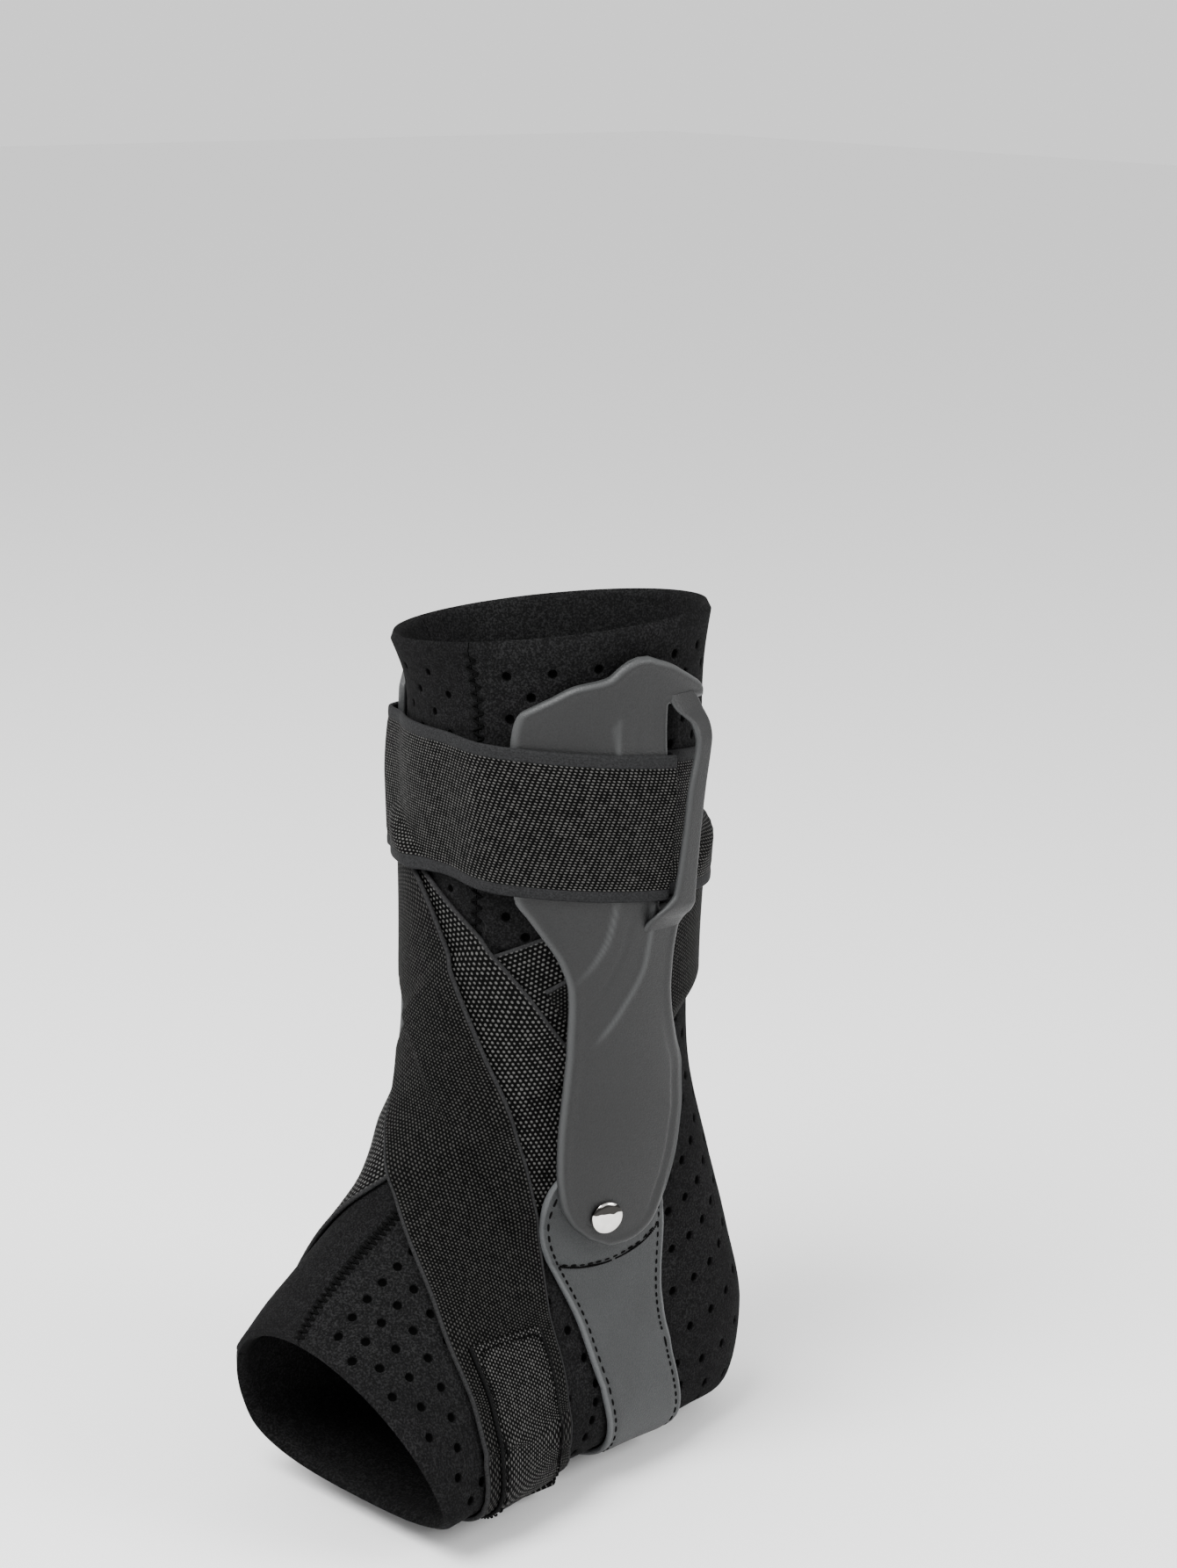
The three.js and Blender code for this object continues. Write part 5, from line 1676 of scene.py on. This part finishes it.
        relief = self.rim_roll * bell(edge, self.rim_inset, 1.0) + self.crease_height * crease
        relief += self.crease_slope * slope
        relief -= self.valley_depth * valley
        relief -= self.flange_depth * flange
        under = self.plate_lift(up)[:, None]
        outer = base + normal * (under + STACK.splint - fall + relief * ease(edge / 0.7))[..., None]
        inner = base + normal * (under + 0.5 * fall)[..., None]
        rows, columns = y.shape
        count = rows * columns
        quads = np.array(grid_quads(rows, columns)).reshape(rows - 1, columns - 1, 4)
        centre_up = (up[:-1] + up[1:]) / 2
        open_rows = (centre_up > low) & (centre_up < high)
        keep = ~(open_rows[:, None] & (np.arange(columns - 1)[None] >= split))
        kept = quads[keep]
        facing_out = self.ankle.side is Side.MEDIAL
        top = kept if facing_out else kept[:, ::-1]
        bottom = (kept[:, ::-1] if facing_out else kept) + count
        faces = top.tolist() + bottom.tolist()
        directed = {(int(f[k]), int(f[(k + 1) % 4])) for f in top for k in range(4)}
        faces += [[b, a, a + count, b + count] for a, b in directed if (b, a) not in directed]
        used = np.zeros(2 * count, bool)
        used[np.unique(np.array([i for f in faces for i in f]))] = True
        renumber = np.cumsum(used) - 1
        faces = [[int(renumber[i]) for i in f] for f in faces]
        points = np.vstack([outer.reshape(-1, 3), inner.reshape(-1, 3)])[used]
        # A painted shade line along the foot of the lower flange's step.
        foot = 0.8 * bell(rear_gap, self.flange_width - 0.5, 0.8) * (flange > 0.05)
        plain = np.zeros(count)
        # The outer face carries the painted crease highlights and the painted valley shade; the inner
        # face has none.
        sides = {
            "edge": (edge, edge),
            "crease": (crease * 0.8, plain),
            "valley": (np.maximum(valley, foot), plain),
        }
        values = {
            name: np.concatenate([side.ravel() for side in both])[used] for name, both in sides.items()
        }
        return MeshData(points, faces, None, values)

    def bar_mesh(self) -> MeshData:
        """Return the raised bar over the slot, joined to the plate at both ends."""
        up = np.linspace(self.bar[0][0], self.bar[-1][0], 130)
        front = smooth_table(up, self.bar, 1) * self.width
        rear = smooth_table(up, self.bar, 2) * self.width
        rise = smooth_table(up, self.bar, 3)
        plate = self.plate_lift(up)
        sunk, proud = self.bar_sunk, STACK.splint + self.bar_proud
        under = plate + sunk + (STACK.bar_lift - plate - sunk) * rise
        over = plate + proud + (STACK.bar_lift + self.bar_thickness - plate - proud) * rise
        section = BandSection(6.0, 2.0, columns=5, rounding=4)
        share, height = section.loop()
        y = self.ankle.y + (front + rear)[:, None] / 2 + (rear - front)[:, None] / 2 * share[None]
        z = np.broadcast_to((self.base_z + up * self.height)[:, None], y.shape)
        along, turn = FORM.place_at_side(y, z, self.ankle.side)
        lift = under[:, None] + (over - under)[:, None] * height[None]
        points = FORM.lifted(along, turn, lift)
        rows, columns = y.shape
        faces = np.array(grid_quads(rows, columns, around=True))
        if self.ankle.side is Side.LATERAL:
            faces = faces[:, ::-1]
        caps = [list(range(columns)), list(range((rows - 1) * columns, rows * columns))]
        if self.ankle.side is Side.LATERAL:
            caps[0].reverse()
        else:
            caps[1].reverse()
        # Edge values where the finish paints highlights along the bar's rims.
        inside = (rear - front)[:, None] / 2 * (1 - np.abs(share))[None]
        edge = inside + np.where(height > 0.5, 0.6, 0)[None]
        return MeshData(points.reshape(-1, 3), faces.tolist() + caps, None, {"edge": edge.ravel()})

    def build(self, finishes: Finishes) -> None:
        """Build the splint."""
        name = self.ankle.side.name.lower()
        mesh = self.plate().joined(self.bar_mesh())
        piece = mesh.to_object(f"moulded_splint_{name}", 60)
        settle(piece, finishes.moulded, [f"splint_{name}"])


@dataclass
class Rivet:
    """A domed rivet through a splint and the stirrup's ear."""

    ankle: Ankle
    head_diameter: float = 9.6
    head_height: float = 1.7
    shank_diameter: float = 4.4
    washer_diameter: float = 8.0
    washer_thickness: float = 0.8
    segments: int = 64

    def profile(self) -> list[tuple[float, float]]:
        """Return the turned profile as radius and height over the sleeve."""
        head, shank, washer = self.head_diameter / 2, self.shank_diameter / 2, self.washer_diameter / 2
        low = STACK.ear_lift - STACK.rivet_gap - self.washer_thickness
        seat = STACK.splint_lift + STACK.splint + STACK.rivet_gap
        top = low + self.washer_thickness
        points = [(0.0, low), (washer, low), (washer, top), (shank, top), (shank, seat)]
        points += [(head - 0.25, seat), (head, seat + 0.25)]
        rim = seat + self.head_height * 0.4
        points.append((head, rim))
        for angle in np.linspace(0, math.pi / 2, 14)[1:]:
            radius = head * math.cos(angle) ** 0.8
            points.append((radius, rim + (self.head_height * 0.6) * math.sin(angle)))
        return points

    def build(self, finishes: Finishes) -> None:
        """Build the rivet."""
        origin, axis = self.ankle.axis()
        helper = np.array([0.0, 0.0, 1.0])
        first = unit(np.cross(helper, axis))
        second = np.cross(axis, first)
        profile = self.profile()
        angle = np.arange(self.segments) / self.segments * TURN
        ring = first[None] * np.cos(angle)[:, None] + second[None] * np.sin(angle)[:, None]
        inner = [p for p in profile if p[0] > 1e-6]
        rows = [origin + axis * h + ring * r for r, h in inner]
        points = np.vstack([*rows, origin + axis * profile[0][1], origin + axis * profile[-1][1]])
        count = len(inner)
        faces = [f[::-1] for f in grid_quads(count, self.segments, around=True)]
        bottom, top = count * self.segments, count * self.segments + 1
        for k in range(self.segments):
            n = (k + 1) % self.segments
            faces.append([bottom, n, k])
            faces.append([top, (count - 1) * self.segments + k, (count - 1) * self.segments + n])
        name = self.ankle.side.name.lower()
        # The shade value places the painted dark reflection band on the upper part of the head.
        height = points[:, 2] - origin[2]
        shade = ease(height / 1.2) * ease((3.6 - height) / 1.2)
        piece = MeshData(points, faces, None, {"shade": shade}).to_object(f"domed_rivet_{name}", 35)
        settle(piece, finishes.nickel, [f"rivet_{name}"])


@dataclass
class UpperStrap:
    """The wide elastic loop round the shaft, over the plates and through their slots."""

    straps: CrossStraps
    splints: tuple[Splint, Splint]
    width: float = 41.0
    low_edge: float = 172.0
    slope: float = 0.11
    steps: int = 420
    seam_turn: float = 0.62
    slot_ramp: float = 3.2
    plate_ramp: float = 12.0
    front_fade: float = 15.0
    groove_depth: float = 0.22
    groove_inset: float = 3.6

    def along_at(self, turn: Array, level: Array) -> Array:
        """Return the share of the length at which the strap's level is met."""
        low, high = np.zeros(turn.shape), np.full(turn.shape, 0.45)
        for _ in range(26):
            middle = (low + high) / 2
            point = FORM.surface(middle, turn)
            above = point[..., 2] + self.slope * point[..., 1] > level
            low, high = np.where(above, middle, low), np.where(above, high, middle)
        return (low + high) / 2

    def plate_cover(self, points: Array) -> Array:
        """Return the height of the plates under the strap, 0 beside them and past their slots."""
        found = np.zeros(points.shape[:-1])
        for splint in self.splints:
            on_side = np.sign(points[..., 0]) == splint.ankle.side.value
            up = np.clip((points[..., 2] - splint.base_z) / splint.height, 0, 1)
            across = points[..., 1] - splint.ankle.y
            on = ease((across - splint.front(up) + self.plate_ramp + 0.5) / self.plate_ramp)
            off = ease((splint.slot_front + self.slot_ramp + 0.7 - across) / self.slot_ramp)
            aside = ease((np.abs(points[..., 0]) - 2.0) / self.front_fade)
            cover = on * off * aside * (splint.plate_lift(up) + STACK.splint)
            found = np.where(on_side, cover, found)
        return found

    def build(self, finishes: Finishes) -> None:
        """Build the loop."""
        section = BandSection(self.width, STACK.upper_strap, columns=26)
        share, height = section.loop()
        level = self.low_edge + self.width * (0.5 - share / 2)
        turn = self.seam_turn - np.linspace(0, 1, self.steps)
        grid_turn, grid_level = np.meshgrid(turn, level, indexing="ij")
        along = self.along_at(grid_turn, grid_level)
        base, _, _, normal = FORM.frame_at(along, grid_turn)
        cover = self.plate_cover(base)
        for layer in self.straps.layers:
            cover = np.maximum(cover, layer.cover(base))
        edge = self.width / 2 * (1 - np.abs(share))[None] + np.zeros(cover.shape)
        groove = -self.groove_depth * bell(edge, self.groove_inset, 0.5) * (height > 0.5)
        lift = STACK.seat + cover + height[None] * STACK.upper_strap + groove
        points = base + normal * lift[..., None]
        at = travelled(base[:, 0])
        rows, columns = cover.shape
        faces = grid_quads(rows, columns, around=True)
        across = self.width / 2 * share
        uv = np.stack(np.broadcast_arrays(at[:, None], across[None]), -1).reshape(-1, 2) / 1000
        points[-1] = points[0]
        mesh = MeshData(points.reshape(-1, 3), faces, uv, {"edge": edge.ravel()})
        strap = mesh.to_object("upper_elastic_strap")
        settle(strap, finishes.weave[Weave.DIAGONAL], ["upper_strap"])


@dataclass
class Studio:
    """A plain pale floor, soft studio light and the camera."""

    azimuth: float = 46.3
    elevation: float = 13.5
    distance: float = 979.0
    target: tuple[float, float, float] = (0.0, 15.0, 193.0)
    roll: float = 1.2
    view_angle: float = 26.0

    def directions(self) -> tuple[Array, Array, Array]:
        """Return the camera's right, up and backward directions."""
        a, e, r = (math.radians(v) for v in (self.azimuth, self.elevation, self.roll))
        back = np.array([math.sin(a) * math.cos(e), -math.cos(a) * math.cos(e), math.sin(e)])
        right = np.array([math.cos(a), math.sin(a), 0.0])
        up = np.cross(back, right)
        turned = right * math.cos(r) + up * math.sin(r)
        return turned, up * math.cos(r) - right * math.sin(r), back

    def camera(self) -> None:
        """Place the camera."""
        right, up, back = self.directions()
        place = FORM.to_frame(np.array(self.target) + back * self.distance)
        data = bpy.data.cameras.new("camera")
        data.sensor_width = 36
        data.lens = data.sensor_width / 2 / math.tan(math.radians(self.view_angle / 2))
        data.clip_start, data.clip_end = 0.05, 20
        camera = bpy.data.objects.new("camera", data)
        bpy.context.scene.collection.objects.link(camera)
        matrix = Matrix([[*row] for row in np.stack([right, up, back], 1)]).to_4x4()
        matrix.translation = Vector(place)
        camera.matrix_world = matrix
        bpy.context.scene.camera = camera

    def light(
        self, name: str, azimuth: float, elevation: float, distance: float, size: float, power: float
    ) -> None:
        """Add a soft area light that looks at the wrap's middle.

        Args:
            name: The light's name.
            azimuth: Degrees round the wrap from its front.
            elevation: Degrees above the floor.
            distance: Metres from the wrap.
            size: Width of the disk in metres.
            power: Watts.
        """
        a, e = math.radians(azimuth), math.radians(elevation)
        place = Vector((math.sin(a) * math.cos(e), -math.cos(a) * math.cos(e), math.sin(e))) * distance
        data = bpy.data.lights.new(name, "AREA")
        data.shape, data.size, data.energy = "DISK", size, power
        lamp = bpy.data.objects.new(name, data)
        lamp.location = place + Vector((0, 0, 0.04))
        lamp.rotation_euler = place.to_track_quat("Z", "Y").to_euler()
        bpy.context.scene.collection.objects.link(lamp)

    def floor(self) -> None:
        """Lay the pale floor."""
        low = CAD_BOUNDS[0].z - 0.0005
        mesh = bpy.data.meshes.new("floor")
        half = 6.0
        corners = [(-half, -half), (half, -half), (half, half), (-half, half)]
        mesh.from_pydata([(x, y, low) for x, y in corners], [], [[0, 1, 2, 3]])
        floor = bpy.data.objects.new("floor", mesh)
        bpy.context.scene.collection.objects.link(floor)
        s = Shader("pale_floor")
        s.surface.inputs["Base Color"].default_value = (0.92, 0.92, 0.92, 1)
        s.surface.inputs["Roughness"].default_value = 0.85
        mesh.materials.append(s.material)

    def build(self) -> None:
        """Set the stage."""
        self.camera()
        self.floor()
        world = bpy.data.worlds.new("studio")
        world.use_nodes = True
        background = world.node_tree.nodes["Background"]
        background.inputs["Color"].default_value = (1, 1, 1, 1)
        background.inputs["Strength"].default_value = 1.15
        bpy.context.scene.world = world
        self.light("key", 10, 52, 1.3, 0.8, 34)
        self.light("side", 112, 28, 1.4, 0.7, 16)
        self.light("fill", -60, 30, 1.6, 1.0, 8)


def main() -> None:
    """Build the wrap and its stage, in order."""
    logging.basicConfig(level=logging.INFO, format="%(message)s")
    finishes = Finishes()
    straps = CrossStraps()
    splints = (Splint(LATERAL), Splint(MEDIAL))
    Sleeve().build(finishes)
    straps.build(finishes)
    Stirrup(straps).build(finishes)
    for splint in splints:
        splint.build(finishes)
        Rivet(splint.ankle).build(finishes)
    UpperStrap(straps, splints).build(finishes)
    Studio().build()


if __name__ == "__main__":
    main()
